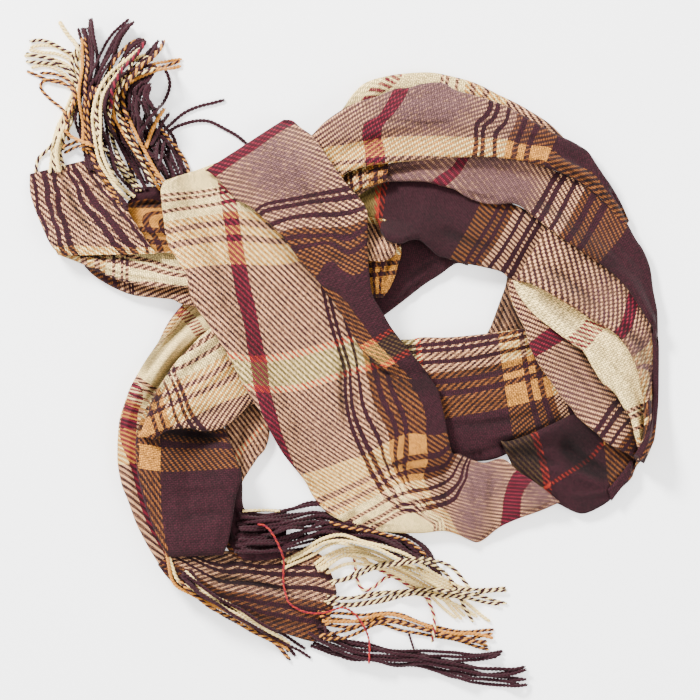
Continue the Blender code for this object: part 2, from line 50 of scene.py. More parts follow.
def onTable(plan):
    plan = np.asarray(plan, float)
    return np.stack([(plan[..., 0] - planCentre[0]) * square, (planCentre[1] - plan[..., 1]) * square], -1)


def smoothThrough(points, count, finePerSpan=10):
    # a Catmull-Rom curve through the points, cut in steps of the same length
    points = np.asarray(points, float)
    padded = np.vstack([2 * points[0] - points[1], points, 2 * points[-1] - points[-2]])
    t = np.linspace(0, 1, finePerSpan, endpoint=False)[:, None]
    fine = []
    for a, b, c, d in zip(padded, padded[1:], padded[2:], padded[3:]):
        bend = (2 * a - 5 * b + 4 * c - d) * t ** 2 + (3 * b - a - 3 * c + d) * t ** 3
        fine.append(0.5 * (2 * b + (c - a) * t + bend))
    fine = np.vstack(fine + [points[-1:]])
    along = np.concatenate([[0], np.cumsum(np.linalg.norm(np.diff(fine, axis=0), axis=1))])
    at = np.linspace(0, along[-1], count)
    return np.stack([np.interp(at, along, fine[:, k]) for k in range(fine.shape[1])], axis=1)


# camera: straight down from well above, so that nearly nothing leans outwards
view = {"height": 4.0, "seenWidth": 0.42, "centre": (350.0, 350.0), "sensor": 36.0}
lens = bpy.data.cameras.new("camera")
lens.sensor_width = view["sensor"]
lens.lens = view["sensor"] * view["height"] / view["seenWidth"]
camera = bpy.data.objects.new("camera", lens)
camera.location = (*onTable(view["centre"]), view["height"])
bpy.context.scene.collection.objects.link(camera)
bpy.context.scene.camera = camera


# materials
class Shade:
    def __init__(self, tree, socket):
        self.tree = tree
        self.socket = socket

    def node(self, kind, settings, sockets, result=0):
        made = self.tree.nodes.new(kind)
        for key, value in settings.items():
            if key == "stops":
                ramp = made.color_ramp
                while len(ramp.elements) < len(value):
                    ramp.elements.new(1.0)
                for stop, (position, colour) in zip(ramp.elements, value):
                    stop.position = position
                    stop.color = (*colour, 1.0)
            elif key == "steps":
                made.color_ramp.interpolation = value
            else:
                setattr(made, key, value)
        for key, value in sockets.items():
            if isinstance(value, Shade):
                self.tree.links.new(value.socket, made.inputs[key])
            else:
                made.inputs[key].default_value = value
        return Shade(self.tree, made.outputs[result])

    def maths(self, operation, *values):
        return self.node("ShaderNodeMath", {"operation": operation}, dict(enumerate(values)))

    def __add__(self, other):
        return self.maths("ADD", self, other)

    def __radd__(self, other):
        return self.maths("ADD", other, self)

    def __sub__(self, other):
        return self.maths("SUBTRACT", self, other)

    def __rsub__(self, other):
        return self.maths("SUBTRACT", other, self)

    def __mul__(self, other):
        return self.maths("MULTIPLY", self, other)

    def __rmul__(self, other):
        return self.maths("MULTIPLY", other, self)

    def __truediv__(self, other):
        return self.maths("DIVIDE", self, other)

    def __mod__(self, other):
        return self.maths("FLOORED_MODULO", self, other)

    def __lt__(self, other):
        return self.maths("LESS_THAN", self, other)

    def __rtruediv__(self, other):
        return self.maths("DIVIDE", other, self)

    def __abs__(self):
        return self.maths("ABSOLUTE", self)

    def floor(self):
        return self.maths("FLOOR", self)

    def sine(self):
        return self.maths("SINE", self)

    def spread(self, low, high, toLow, toHigh):
        return self.node("ShaderNodeMapRange", {}, {0: self, 1: low, 2: high, 3: toLow, 4: toHigh})

    def noise(self, scale, detail=2.0, rough=0.5):
        sockets = {"Vector": self, "Scale": scale, "Detail": detail, "Roughness": rough}
        return self.node("ShaderNodeTexNoise", {}, sockets)

    def mix(self, first, second, share, blend="MIX"):
        settings = {"data_type": "RGBA", "blend_type": blend}
        return self.node("ShaderNodeMix", settings, {0: share, 6: first, 7: second}, 2)

    def parts(self):
        split = self.node("ShaderNodeSeparateXYZ", {}, {0: self})
        outputs = split.socket.node.outputs
        return [Shade(self.tree, outputs[k]) for k in range(3)]


# yarn colours, and the order of the check from the middle of the crimson stripe, in millimetres
yarn = {
    "crimson": (0.158, 0.0052, 0.0190),
    "cream": (0.90, 0.660, 0.268),
    "dark": (0.0232, 0.0028, 0.0066),
    "tan": (0.50, 0.200, 0.028),
    "red": (0.36, 0.024, 0.010),
    "olive": (0.158, 0.104, 0.026),
}
check = {
    "halfRepeat": 168.3,
    "order": [("crimson", 0), ("cream", 5.4), ("dark", 59.4), ("cream", 61.8), ("dark", 63.6),
              ("cream", 66.3), ("dark", 70.5), ("cream", 73.5), ("tan", 78.6), ("dark", 82.2),
              ("tan", 85.5), ("dark", 89.7), ("tan", 93.0), ("dark", 105.6), ("red", 156.6),
              ("olive", 160.6)],
    "endSpacing": 0.74,
    "pickSpacing": 1.20,
}


def checkColour(place):
    half = check["halfRepeat"]
    folded = abs((place + half) % (2 * half) - half) / half
    stops = [(start / half, yarn[name]) for name, start in check["order"]]
    return folded.node("ShaderNodeValToRGB", {"steps": "CONSTANT", "stops": stops}, {0: folded})


# what is the same all over the wool
woolSockets = {
    "Roughness": 0.9,
    "Specular IOR Level": 0.18,
    "Sheen Roughness": 0.5,
    "Sheen Tint": (1.0, 0.93, 0.86, 1.0),
}
woolBump = {"Strength": 0.5, "Distance": 0.0003}


def woolMaterial(name, sheen):
    material = bpy.data.materials.new(name)
    material.use_nodes = True
    tree = material.node_tree
    shader = tree.nodes["Principled BSDF"]
    for socket, value in {**woolSockets, "Sheen Weight": sheen}.items():
        shader.inputs[socket].default_value = value
    return material, tree, shader


# the woven cloth: the scales are those of its noises, and sway and ragged are in mm
twill = {
    "sheen": 0.03,
    "scales": {"sway": 170.0, "fastSway": 950.0, "ragged": 1100.0, "fuzz": 1900.0, "blend": 26.0,
               "felt": 420.0, "fibre": 2800.0, "patch": 32.0, "haze": 800.0},
    "fastSway": 0.55,
    "endSway": 0.7,
    "pickSway": 1.1,
    "ragged": 1.1,
    "fuzz": 0.75,
    "yarnVaries": 0.3,
    "blend": 0.05,
    "brushedBlend": 0.20,
    "darkTint": (0.34, 0.26, 0.34, 1.0),
    "lightTint": (0.84, 0.575, 0.68, 1.0),
    "felt": (0.108, 0.050, 0.054, 1.0),
    "feltShare": 0.10,
    "brushedFelt": 1.45,
    "beadFoot": 0.45,
    # painted shade of each bead, and painted shade and light of the fibres
    "beadShade": (0.16, 1.22),
    "fibreShade": (0.78, 1.20),
    "yarnLevel": (0.60, 1.30),
    "patchLevel": (0.92, 1.06),
    # how dark the painted shade of the hollows and of what lies over the cloth makes the colour
    "shadeDarkens": 0.74,
    "haze": (0.22, 0.09, 0.09, 1.0),
    "hazeShare": 0.04,
}


def wovenMaterial(look):
    # two-and-two twill: each crossing shows its warp or its weft yarn
    scales = look["scales"]
    material, tree, shader = woolMaterial("woven_check", look["sheen"])
    base = Shade(tree, None)
    place = base.node("ShaderNodeTexCoord", {}, {}, 3)
    across, along, _ = base.node("ShaderNodeUVMap", {"uv_map": "threads"}, {}).parts()
    endPlace, pickPlace, _ = base.node("ShaderNodeUVMap", {"uv_map": "weave"}, {}).parts()
    # the painted shade of the hollows and of what lies over the cloth, and where the wool is brushed
    paintedShade, brushed, _ = base.node("ShaderNodeUVMap", {"uv_map": "surface"}, {}).parts()
    fast = (place.noise(scales["fastSway"], 1.0) - 0.5) * look["fastSway"]
    sway = place.noise(scales["sway"]) - 0.5 + fast
    end = (endPlace * toMm + sway * look["endSway"]) / check["endSpacing"]
    pick = (pickPlace * toMm + sway * look["pickSway"]) / check["pickSpacing"]
    endNumber = end.floor()
    pickNumber = pick.floor()
    warpUp = (endNumber - pickNumber) % 4.0 < 2.0
    ragged = (place.noise(scales["ragged"], 1.0) - 0.5) * look["ragged"]
    warp = checkColour(across * toMm + ragged)
    weft = checkColour(along * toMm + ragged)
    # raised fibres carry some of the other yarn's colour over each float
    fuzz = place.noise(scales["fuzz"], 2.0, 0.6)
    blend = place.noise(scales["blend"], 2.0).spread(0.35, 0.7, 0.0, look["blend"])
    blend = blend + brushed * look["brushedBlend"]
    crossing = base.node("ShaderNodeCombineXYZ", {}, {0: endNumber, 1: pickNumber})
    sparkle = base.node("ShaderNodeTexWhiteNoise", {"noise_dimensions": "2D"}, {"Vector": crossing})
    share = warpUp * (1.0 - 2.0 * blend) + blend
    share = share + (fuzz - 0.5) * look["fuzz"] + (sparkle - 0.5) * look["yarnVaries"]
    face = base.mix(weft, warp, share.spread(0.0, 1.0, 0.0, 1.0))
    # a light yarn looks pinker between dark ones
    contrast = abs(warp - weft)
    besideDark = base.maths("MINIMUM", warp, weft).spread(0.010, 0.028, 1.0, 0.0)
    brighter = base.maths("MAXIMUM", warp, weft)
    tint = base.mix(look["darkTint"], look["lightTint"], brighter.spread(0.30, 0.48, 0.0, 1.0))
    pinked = base.mix(face, tint, 1.0, "MULTIPLY")
    face = base.mix(face, pinked, besideDark * brighter.spread(0.06, 0.11, 0.0, 1.0))
    # brushing felts two unlike yarns into one soft colour
    felted = contrast * (look["feltShare"] + brushed * look["brushedFelt"])
    felted = felted * place.noise(scales["felt"], 3.0).spread(0.3, 0.7, 0.6, 1.4)
    face = base.mix(face, look["felt"], felted.spread(0.0, 0.9, 0.0, 0.9))
    # a float is a bead, two picks or two ends long
    foot = look["beadFoot"]
    endRound = (end % 1.0 * math.pi).sine()
    pickRound = (pick % 1.0 * math.pi).sine()
    warpFloat = ((pick - endNumber + 1.0) % 4.0 * (math.pi / 2)).sine()
    weftFloat = ((end - pickNumber - 2.0) % 4.0 * (math.pi / 2)).sine()
    warpBead = endRound * (foot + (1.0 - foot) * abs(warpFloat))
    weftBead = pickRound * (foot + (1.0 - foot) * abs(weftFloat))
    relief = warpUp * warpBead + (1.0 - warpUp) * weftBead
    fibre = place.noise(scales["fibre"], 3.0, 0.7)
    patch = place.noise(scales["patch"], 3.0)
    # painted shade between the yarns and towards each float's ends, and painted shade and light from fibre to
    # fibre, darker where the fibre noise lowers the bump
    shadeAndTone = relief.spread(0.12, 0.88, *look["beadShade"]) * fibre.spread(0.25, 0.75, *look["fibreShade"])
    shadeAndTone = shadeAndTone * sparkle.spread(0.0, 1.0, *look["yarnLevel"])
    # patches of the wool's own uneven tone, then the painted shade of the hollows and of what lies over the
    # cloth
    shadeAndTone = shadeAndTone * patch.spread(0.3, 0.7, *look["patchLevel"]) * (1.0 - paintedShade * look["shadeDarkens"])
    grey = base.node("ShaderNodeCombineColor", {}, {0: shadeAndTone, 1: shadeAndTone, 2: shadeAndTone})
    colour = base.mix(face, grey, 1.0, "MULTIPLY")
    haze = place.noise(scales["haze"]).spread(0.35, 0.8, 0.0, look["hazeShare"])
    colour = base.mix(colour, look["haze"], haze)
    tree.links.new(colour.socket, shader.inputs["Base Color"])
    bump = base.node("ShaderNodeBump", {}, {**woolBump, "Height": relief * 0.8 + fibre * 0.5})
    tree.links.new(bump.socket, shader.inputs["Normal"])
    return material


woven = wovenMaterial(twill)


# the fringe: each strand is one yarn colour, with painted shade between its fibres and painted light on them
strandYarn = {"sheen": 0.08, "fibreScale": 1500.0, "darker": 0.55, "lighter": 1.15}


def strandMaterial(name, colour, look):
    material, tree, shader = woolMaterial(name, look["sheen"])
    base = Shade(tree, None)
    place = base.node("ShaderNodeTexCoord", {}, {}, 3)
    fibre = place.noise(look["fibreScale"], 3.0, 0.7)
    # painted shade between the fibres and painted light on them
    shadow = tuple(look["darker"] * c for c in colour)
    light = tuple(min(1.0, look["lighter"] * c) for c in colour)
    mixed = base.mix((*shadow, 1.0), (*light, 1.0), fibre.spread(0.3, 0.62, 0.0, 1.0))
    tree.links.new(mixed.socket, shader.inputs["Base Color"])
    bump = base.node("ShaderNodeBump", {}, {**woolBump, "Height": fibre})
    tree.links.new(bump.socket, shader.inputs["Normal"])
    return material


strandWool = {name: strandMaterial("strand_" + name, yarn[name], strandYarn) for name in yarn}
print("materials made")


# the solids under the cloth, as trees for rays, which start far above, far below or just over a height
farUp, farDown = 1.0, -1.0
justOver = 0.0002


def treeOf(mesh):
    return BVHTree.FromPolygons([v.co for v in mesh.vertices], [p.vertices[:] for p in mesh.polygons])


solidTrees = {name: treeOf(node.data) for name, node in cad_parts.items()}


def heights(tree, spots, start, way):
    found = np.full(len(spots), np.nan)
    for k, (x, y) in enumerate(spots):
        z = start if np.isscalar(start) else start[k]
        hit = tree.ray_cast(Vector((x, y, z)), Vector((0, 0, way)))[0]
        if hit is not None:
            found[k] = hit.z
    return found


def reachOf(mesh):
    places = np.array([v.co for v in mesh.vertices])
    return places.min(axis=0), places.max(axis=0)


solidReach = {name: reachOf(node.data) for name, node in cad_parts.items()}


def ceilingOver(name, spots, tops):
    lowest = np.full(len(spots), farUp)
    for other, tree in solidTrees.items():
        low, high = solidReach[other]
        near = ((spots >= low[:2]) & (spots <= high[:2])).all(axis=1) & (tops < high[2])
        if other != name and near.any():
            lowest[near] = np.fmin(lowest[near], heights(tree, spots[near], tops[near] + justOver, 1))
    return lowest


def filledIn(grid, steps=80, otherwise=0.004):
    # what missed the solid takes the mean height of its neighbours, from the rim outwards
    for _ in range(steps):
        empty = np.isnan(grid)
        if not empty.any():
            break
        padded = np.pad(grid, 1, constant_values=np.nan)
        near = np.stack([padded[:-2, 1:-1], padded[2:, 1:-1], padded[1:-1, :-2], padded[1:-1, 2:]])
        known = (~np.isnan(near)).sum(axis=0)
        mean = np.nansum(near, axis=0) / np.maximum(known, 1)
        grid = np.where(empty & (known > 0), mean, grid)
    return np.nan_to_num(grid, nan=otherwise)


def blurred(grid, times):
    for _ in range(times):
        padded = np.pad(grid, 1, mode="edge")
        sides = padded[:-2, 1:-1] + padded[2:, 1:-1] + padded[1:-1, :-2] + padded[1:-1, 2:]
        grid = (sides + 4 * grid) / 8
    return grid


def threadField(lines, plan, stiffness=2e-4, scale=100.0):
    # a thin plate through the lines that single threads follow
    spots = np.array([spot for _, line in lines for spot in line], float)
    values = np.array([value for value, line in lines for _ in line], float)

    def plate(a, b):
        far = np.linalg.norm(a[:, None] - b[None], axis=2) / scale
        return np.where(far > 1e-6, far ** 2 * np.log(np.maximum(far, 1e-6)), 0.0)

    count = len(spots)
    slope = np.hstack([np.ones((count, 1)), spots / scale])
    system = np.zeros((count + 3, count + 3))
    system[:count, :count] = plate(spots, spots) + stiffness * np.eye(count)
    system[:count, count:] = slope
    system[count:, :count] = slope.T
    weights = np.linalg.lstsq(system, np.concatenate([values, np.zeros(3)]), rcond=None)[0]
    around = plate(plan, spots) @ weights[:count]
    return around + np.hstack([np.ones((len(plan), 1)), plan / scale]) @ weights[count:]


def slopeOf(field, grid):
    here, right, down = (field(grid + step) for step in ((0, 0), (1, 0), (0, 1)))
    return np.stack([right - here, down - here], 1) * mm / square


stiffer = (0.003, 0.03, 0.3, 3.0, 30.0, 300.0)
mostFanned = 1.4


def weaveFields(look, plan, grid):
    # the weave keeps its spacing however the stripes fan out, so its fields are stiffened until it does
    fields, slopes = [], []
    for way in ("warp", "weft"):
        for stiffness in stiffer:
            slope = slopeOf(lambda spots: threadField(look[way], spots, stiffness), grid)
            pull = np.linalg.norm(slope, axis=1)
            if np.percentile(pull, 95) < mostFanned * np.percentile(pull, 5):
                break
        fields.append(threadField(look[way], plan, stiffness) / np.median(pull))
        slopes.append(slope / np.median(pull))
    ends, picks = check["endSpacing"], check["pickSpacing"]
    lean = look.get("lean", 1)
    wales = np.linalg.norm(slopes[0] / ends - lean * slopes[1] / picks, axis=1)
    evened = math.hypot(1 / ends, 1 / picks) / np.median(wales)
    return [fields[0] * evened, fields[1] * evened * lean]


def turned(values, turn):
    # stripes that mirror each other on both sides of a fold
    return values if turn is None else turn[0] + turn[1] * np.abs(values)


creased = {"bow": 0.05, "steepSide": 1.4, "height": 1.3, "fade": 2.6}


def creaseRelief(creases, plan):
    # each crease: from x, y, to x, y, half width in squares, height in mm
    total = np.zeros(plan.shape[:-1])
    for x1, y1, x2, y2, width, height in creases:
        run = np.array([x2 - x1, y2 - y1], float)
        length = np.linalg.norm(run)
        offset = plan - np.array([x1, y1], float)
        share = offset @ run / length ** 2
        side = 1 if (x1 + y2) % 2 < 1 else -1
        bow = creased["bow"] * length * np.sin(np.pi * np.clip(share, 0, 1)) * side
        aside = offset @ np.array([-run[1], run[0]]) / length - bow
        fade = np.clip(1.0 - np.abs(2 * share - 1) ** creased["fade"], 0, 1)
        steep = np.where(aside > 0, 1.0, creased["steepSide"])
        total += creased["height"] * height * fade * np.exp(-(aside * steep / width) ** 2)
    return total * mm


def spotShare(spots, plan):
    # x, y, reach in squares, amount
    total = np.zeros(plan.shape[:-1])
    for x, y, reach, amount in spots:
        total += amount * np.exp(-((plan[..., 0] - x) ** 2 + (plan[..., 1] - y) ** 2) / reach ** 2)
    return total


def slowWaves(plan, size, seed, count=5, turnedBy=2.4, shiftedBy=1.7):
    # a few long waves that cross each other
    total = np.zeros(plan.shape[:-1])
    for k in range(count):
        angle = turnedBy * k + seed
        length = size * (0.7 + 0.33 * ((k * 7 + seed * 3) % 5))
        phase = (plan[..., 0] * math.cos(angle) + plan[..., 1] * math.sin(angle)) / length
        total += np.sin(phase * 2 * math.pi + shiftedBy * k + seed)
    return total / count


# how every stretch is laid, in mm where nothing else is said; a piece may give its own
shell = {
    "cell": 1.0,
    "rows": (14, 300),
    "columns": (8, 150),
    "roll": 3.2,                # how far the rounded edge reaches out,
    "rollShare": 0.3,           # and its most, as a share of the width
    "widen": 0,                 # in squares, at both edges
    "feltInside": 0.04,         # the solid is felt this share inside its edges,
    "feltInsideEnd": 0.3,       # and this share of so many rows inside its ends
    "endRows": 5,
    "softness": 6,
    "uneven": 0.25,
    "waves": 30,                # in squares
    # painted shade in the creases and beside what lies over the cloth, and how far a shadow spot below zero
    # may paint light
    "darkDepth": 3.2,
    "darkest": 0.9,
    "coverShade": 0.6,
    "coverReach": 14,
    "shaded": 1,
    "leastShade": -0.4,
    "foldLow": 0.6,             # an end closes this share of the way down
    "foldLeast": 0.03,
    "runsOver": 0.25,
    "runThick": 0.6,
    "runSoftness": 6,
    "sunkTo": 0.6,
    "drapeUnder": 0.4,
    "drapeOver": 2.4,
    "drapeSoftness": 3,
    "underCover": 0.25,
    "leastThick": 0.5,
    "layers": 2,
    "arcSteps": 5,
    "arcEnd": 0.3,
    "underSteps": 9,
    "unrolled": 0.45,           # of the edge's reach, for each step round it
    "backShift": (9.0, 14.0),   # in squares, so that the underside shows another place of the check
    "weaveEvery": 4,            # the weave's spacing is felt at each fourth spot
    "creases": (),
    "shadow": (),
    "brushed": (),
}
topOf = {}


def felt(tree, plan, start, way):
    return heights(tree, onTable(plan).reshape(-1, 2), start, way).reshape(plan.shape[:2])


def planOf(look, longest):
    # a grid between the two edges, which leaves room for the rounded edges outside it
    cell = look["cell"] * mm
    rows = int(np.clip(longest / cell, *look["rows"]))
    leftEdge = smoothThrough(look["left"], rows)
    rightEdge = smoothThrough(look["right"], rows)
    width = np.maximum(np.linalg.norm(rightEdge - leftEdge, axis=1), 1e-6)
    outward = (rightEdge - leftEdge) / width[:, None]
    leftEdge = leftEdge - outward * look["widen"]
    width = width + 2 * look["widen"]
    columns = int(np.clip(width.max() * square / cell, *look["columns"]))
    roll = np.minimum(look["roll"] * mm / square, look["rollShare"] * width)
    share = np.linspace(0, 1, columns + 1)
    reach = roll[:, None] + (width - 2 * roll)[:, None] * share
    return leftEdge[:, None] + outward[:, None] * reach[..., None], outward, roll


def faceHeights(name, look, plan, longest):
    # the upper side and the underside, and how dark each spot of the upper side is
    rows = len(plan)
    tree = solidTrees[name]
    probe = plan + (plan.mean(axis=1, keepdims=True) - plan) * look["feltInside"]
    probe[0] += (probe[min(look["endRows"], rows - 1)] - probe[0]) * look["feltInsideEnd"]
    probe[-1] += (probe[max(-1 - look["endRows"], -rows)] - probe[-1]) * look["feltInsideEnd"]
    upper = filledIn(felt(tree, probe, farUp, -1))
    lower = filledIn(felt(tree, probe, farDown, 1))
    ceiling = ceilingOver(name, onTable(plan).reshape(-1, 2), upper.reshape(-1)).reshape(plan.shape[:2])
    upper = blurred(upper, look["softness"])
    lower = blurred(lower, look["softness"])
    relief = creaseRelief(look["creases"], plan)
    upper = upper + relief
    # painted shade darkens the colour in the crease hollows and close to what lies over the cloth;
    # shadow spots paint more shade, and a spot below zero paints light
    covered = blurred((ceiling < 0.5 * farUp).astype(float), look["coverReach"])
    paintedShade = np.clip(-relief / (look["darkDepth"] * mm), 0, look["darkest"]) + look["coverShade"] * covered
    paintedShade = np.clip(paintedShade * look["shaded"] + spotShare(look["shadow"], plan), look["leastShade"], 1)
    upper = upper + slowWaves(plan, look["waves"], len(name)) * look["uneven"] * mm
    # an end in the open closes in a fold
    lengthwise = np.linspace(0, longest / mm, rows)
    for end, away in zip(("foldedStart", "foldedEnd"), (lengthwise, lengthwise[::-1])):
        if end in look:
            near = np.clip(away / look[end], 0, 1)
            closing = np.sqrt(np.clip(1 - (1 - near) ** 2, look["foldLeast"], 1))[:, None]
            middle = upper * (1 - look["foldLow"]) + lower * look["foldLow"]
            upper = middle + (upper - middle) * closing
            lower = middle + (lower - middle) * closing
    # where a stretch runs on, it comes down to the next one
    if "runsInto" in look:
        nextOne, over = look["runsInto"]
        near = np.clip(lengthwise[::-1] / over, 0, 1)
        fade = (near * near * (3 - 2 * near))[:, None]
        ground = blurred(filledIn(felt(solidTrees[nextOne], plan, farUp, -1)), look["runSoftness"])
        ground = ground + look["runsOver"] * mm
        upper = ground + (upper - ground) * fade
        lower = np.minimum(lower, upper - look["runThick"] * mm)
    # the underside goes down to the table from one share of the length to another
    if "sinks" in look:
        low, high = look["sinks"]
        sunk = np.clip((np.linspace(0, 1, rows) - low) / (high - low), 0, 1)[:, None]
        lower = lower + (np.minimum(lower, look["sunkTo"] * mm) - lower) * sunk
    # a thin strip lies on its neighbours
    if "drapesOver" in look:
        flank = np.zeros(plan.shape[:2])
        for below in look["drapesOver"]:
            flank = np.fmax(flank, felt(topOf[below], plan, farUp, -1))
        flank = blurred(flank, look["drapeSoftness"])
        lower = flank + look["drapeUnder"] * mm
        upper = flank + look["drapeOver"] * mm + relief
    upper = np.minimum(upper, ceiling - look["underCover"] * mm)
    upper = np.maximum(upper, lower + look["leastThick"] * mm)
    return upper, lower, paintedShade


def ringsOf(look, plan, outward, roll, upper, lower):
    # a ring goes over the upper side, round the layers at the edge, and back under; flats are the same
    # places with the edges unrolled, for the threads to run on, and columnOf is the column each is nearest
    rows, columns = plan.shape[0], plan.shape[1] - 1
    layers, arcSteps = look["layers"], look["arcSteps"]
    under = np.unique(np.linspace(0, columns, look["underSteps"]).astype(int))
    angles = np.linspace(0, math.pi, arcSteps + 1)[1:]
    rings, flats = [], []
    for r in range(rows):
        ring = [(*plan[r, c], upper[r, c]) for c in range(columns + 1)]
        flat = [tuple(plan[r, c]) for c in range(columns + 1)]
        sides = []
        for way, c in ((1, columns), (-1, 0)):
            edge, top, bottom = plan[r, c], upper[r, c], lower[r, c]
            deep = (top - bottom) / layers
            arc, arcFlat = [], []
            for layer in range(layers):
                for k, angle in enumerate(angles):
                    if layer == layers - 1 and k == arcSteps - 1:
                        continue
                    out = math.sin(angle) if k < arcSteps - 1 else look["arcEnd"]
                    spot = edge + way * outward[r] * roll[r] * out
                    arc.append((*spot, top - deep * (layer + (1 - math.cos(angle)) / 2)))
                    step = (k + 1 + layer * arcSteps) * roll[r] * look["unrolled"]
                    arcFlat.append(tuple(edge + way * outward[r] * step))
            sides.append((arc, arcFlat))
        back = [(*plan[r, c], lower[r, c]) for c in under[::-1]]
        backFlat = [tuple(plan[r, c] + look["backShift"]) for c in under[::-1]]
        rings.append(ring + sides[0][0] + back + sides[1][0][::-1] + ring[:1])
        flats.append(flat + sides[0][1] + backFlat + sides[1][1][::-1] + flat[:1])
    columnOf = [*range(columns + 1), *[columns] * len(sides[0][0]), *under[::-1], *[0] * len(sides[1][0]), 0]
    rings = np.array(rings)
    places = np.concatenate([onTable(rings[..., :2]), rings[..., 2:]], axis=-1)
    return places, np.array(flats).reshape(-1, 2), columnOf


def meshOf(name, places, layers):
    # a grid is bent into the shell, and closes where its two long sides meet
    bm = bmesh.new()
    bmesh.ops.create_grid(bm, x_segments=places.shape[1] - 1, y_segments=places.shape[0] - 1, size=1.0)
    mesh = bpy.data.meshes.new(name)
    bm.to_mesh(mesh)
    bm.free()
    mesh.vertices.foreach_set("co", places.ravel())
    corners = np.empty(len(mesh.loops), int)
    mesh.loops.foreach_get("vertex_index", corners)
    for layer, values, unit in layers:
        values = np.stack(values, 1) * unit
        mesh.uv_layers.new(name=layer).data.foreach_set("uv", values[corners].ravel())
    bm = bmesh.new()
    bm.from_mesh(mesh)
    bmesh.ops.remove_doubles(bm, verts=bm.verts, dist=1e-6)
    bmesh.ops.recalc_face_normals(bm, faces=bm.faces)
    topFace = max(bm.faces, key=lambda f: f.calc_center_median().z)
    if topFace.normal.z < 0:
        bmesh.ops.reverse_faces(bm, faces=bm.faces)
    bm.to_mesh(mesh)
    bm.free()
    mesh.shade_smooth()
    return mesh


def layCloth(name, given):
    look = {**shell, **given}
    sides = (look["left"], look["right"])
    longest = max(np.linalg.norm(np.diff(onTable(side), axis=0), axis=1).sum() for side in sides)
    plan, outward, roll = planOf(look, longest)
    upper, lower, paintedShade = faceHeights(name, look, plan, longest)
    nap = np.clip(spotShare(look["brushed"], plan), 0, 1)
    places, flats, columnOf = ringsOf(look, plan, outward, roll, upper, lower)
    threads = [turned(threadField(look[way], flats), look.get(way + "Turn")) for way in ("warp", "weft")]
    every = look["weaveEvery"]
    weave = weaveFields(look, flats, plan[::every, ::every].reshape(-1, 2))
    # the painted shade and the brushed nap of each spot, for the material
    surface = [paintedShade[:, columnOf].ravel(), nap[:, columnOf].ravel()]
    layers = (("threads", threads, mm), ("weave", weave, mm), ("surface", surface, 1.0))
    mesh = meshOf(name + "_cloth", places, layers)
    mesh.materials.append(woven)
    cloth = bpy.data.objects.new(name + "_cloth", mesh)
    bpy.context.scene.collection.objects.link(cloth)
    # the cut of what shows: all round the shell, or one layer of it where its two ends are closed
    wayRound = sum(p.area for p in mesh.polygons) / longest
    openEdge = np.linalg.norm(np.diff(places[[0, -1]], axis=1), axis=2).sum()
    if openEdge < 0.5 * (wayRound / 2 + longest):
        wayRound = wayRound / 2
    elif openEdge < 0.5 * (wayRound + longest):
        wayRound = wayRound * 0.7
    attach(cloth, "root")
    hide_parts(name)
    topOf[name] = treeOf(mesh)
    print("laid", name, *places.shape[:2], "flat", round(wayRound, 3), round(longest, 3))


# each stretch of cloth: its two edges on the plan, and the lines that its threads follow as
# (millimetres across the check, points): warp threads run along the scarf, weft threads across it;
# shadow and brushed are spots of x, y, reach and amount: a shadow spot is painted shade, and one
# below zero is painted light

loopCrest = {
    "left": [(326, 132), (332, 120), (343, 108), (352, 95), (365, 83), (385, 76.5), (405, 73.5), (430, 72.5),
             (450, 76), (475, 83), (500, 95.5), (515, 102.5), (530, 111), (550, 124), (566, 140)],
    "right": [(350, 142), (356, 132), (374, 120), (390, 114), (410, 112), (434, 114), (463, 120), (493, 132),
              (520, 147), (545, 160)],
    "warp": [(12, [(344, 110), (376, 77), (408, 73), (442, 74), (477, 84), (511, 101), (541, 118)]),
             (42, [(356, 132), (390, 110), (434, 106), (463, 114), (493, 126), (520, 143)])],
    "weft": [(-30, [(332, 126), (350, 140)]), (-5.4, [(362, 101), (390, 77)]), (5.4, [(369, 104), (403, 74)]),
             (60.6, [(443, 73), (439, 92)]), (64.95, [(449, 74), (446, 95)]), (72, [(458, 77), (455, 97)]),
             (83.85, [(473, 82), (468, 104)]), (91.35, [(486, 89), (481, 108)]), (105.6, [(508, 98),
                                                                                          (499, 118)]),
             (150, [(562, 138), (548, 152)])],
    "creases": [(350, 112, 400, 82, 5, -0.7), (400, 92, 470, 95, 6, 0.8)],
}
layCloth("loop_crest", loopCrest)

loopUnder = {
    "left": [(468, 238), (440, 230), (415, 230), (395, 238), (374, 252), (352, 272)],
    "right": [(468, 266), (456, 264), (440, 275), (425, 284.5), (405, 300), (390, 311.5), (378, 320),
              (366, 328)],
    "warp": [(115, [(468, 238), (415, 230), (352, 272)]), (150, [(468, 267), (425, 284), (366, 328)])],
    "weft": [(112, [(362, 300), (352, 285)]), (150, [(468, 250), (468, 240)])],
    "creases": [(400, 285, 450, 255, 5, -1.2), (395, 300, 430, 272, 4, 0.8)],
}
layCloth("loop_under", loopUnder)

loopTuck = {
    "left": [(507, 276), (505, 286), (500, 300), (495, 314), (490, 327), (484, 338)],
    "right": [(521, 279), (523, 286), (524, 299), (527, 317), (530, 338)],
    "warp": [(20, [(507, 282), (484, 338)]), (50, [(521, 282), (530, 338)])],
    "weft": [(112, [(500, 276), (523, 276)]), (150, [(484, 338), (530, 338)])],
    "shadow": [(506, 306, 34, 0.85), (524, 336, 14, 0.3)],
    "creases": [(505, 300, 498, 330, 3, -1.2)],
}
layCloth("loop_tuck", loopTuck)

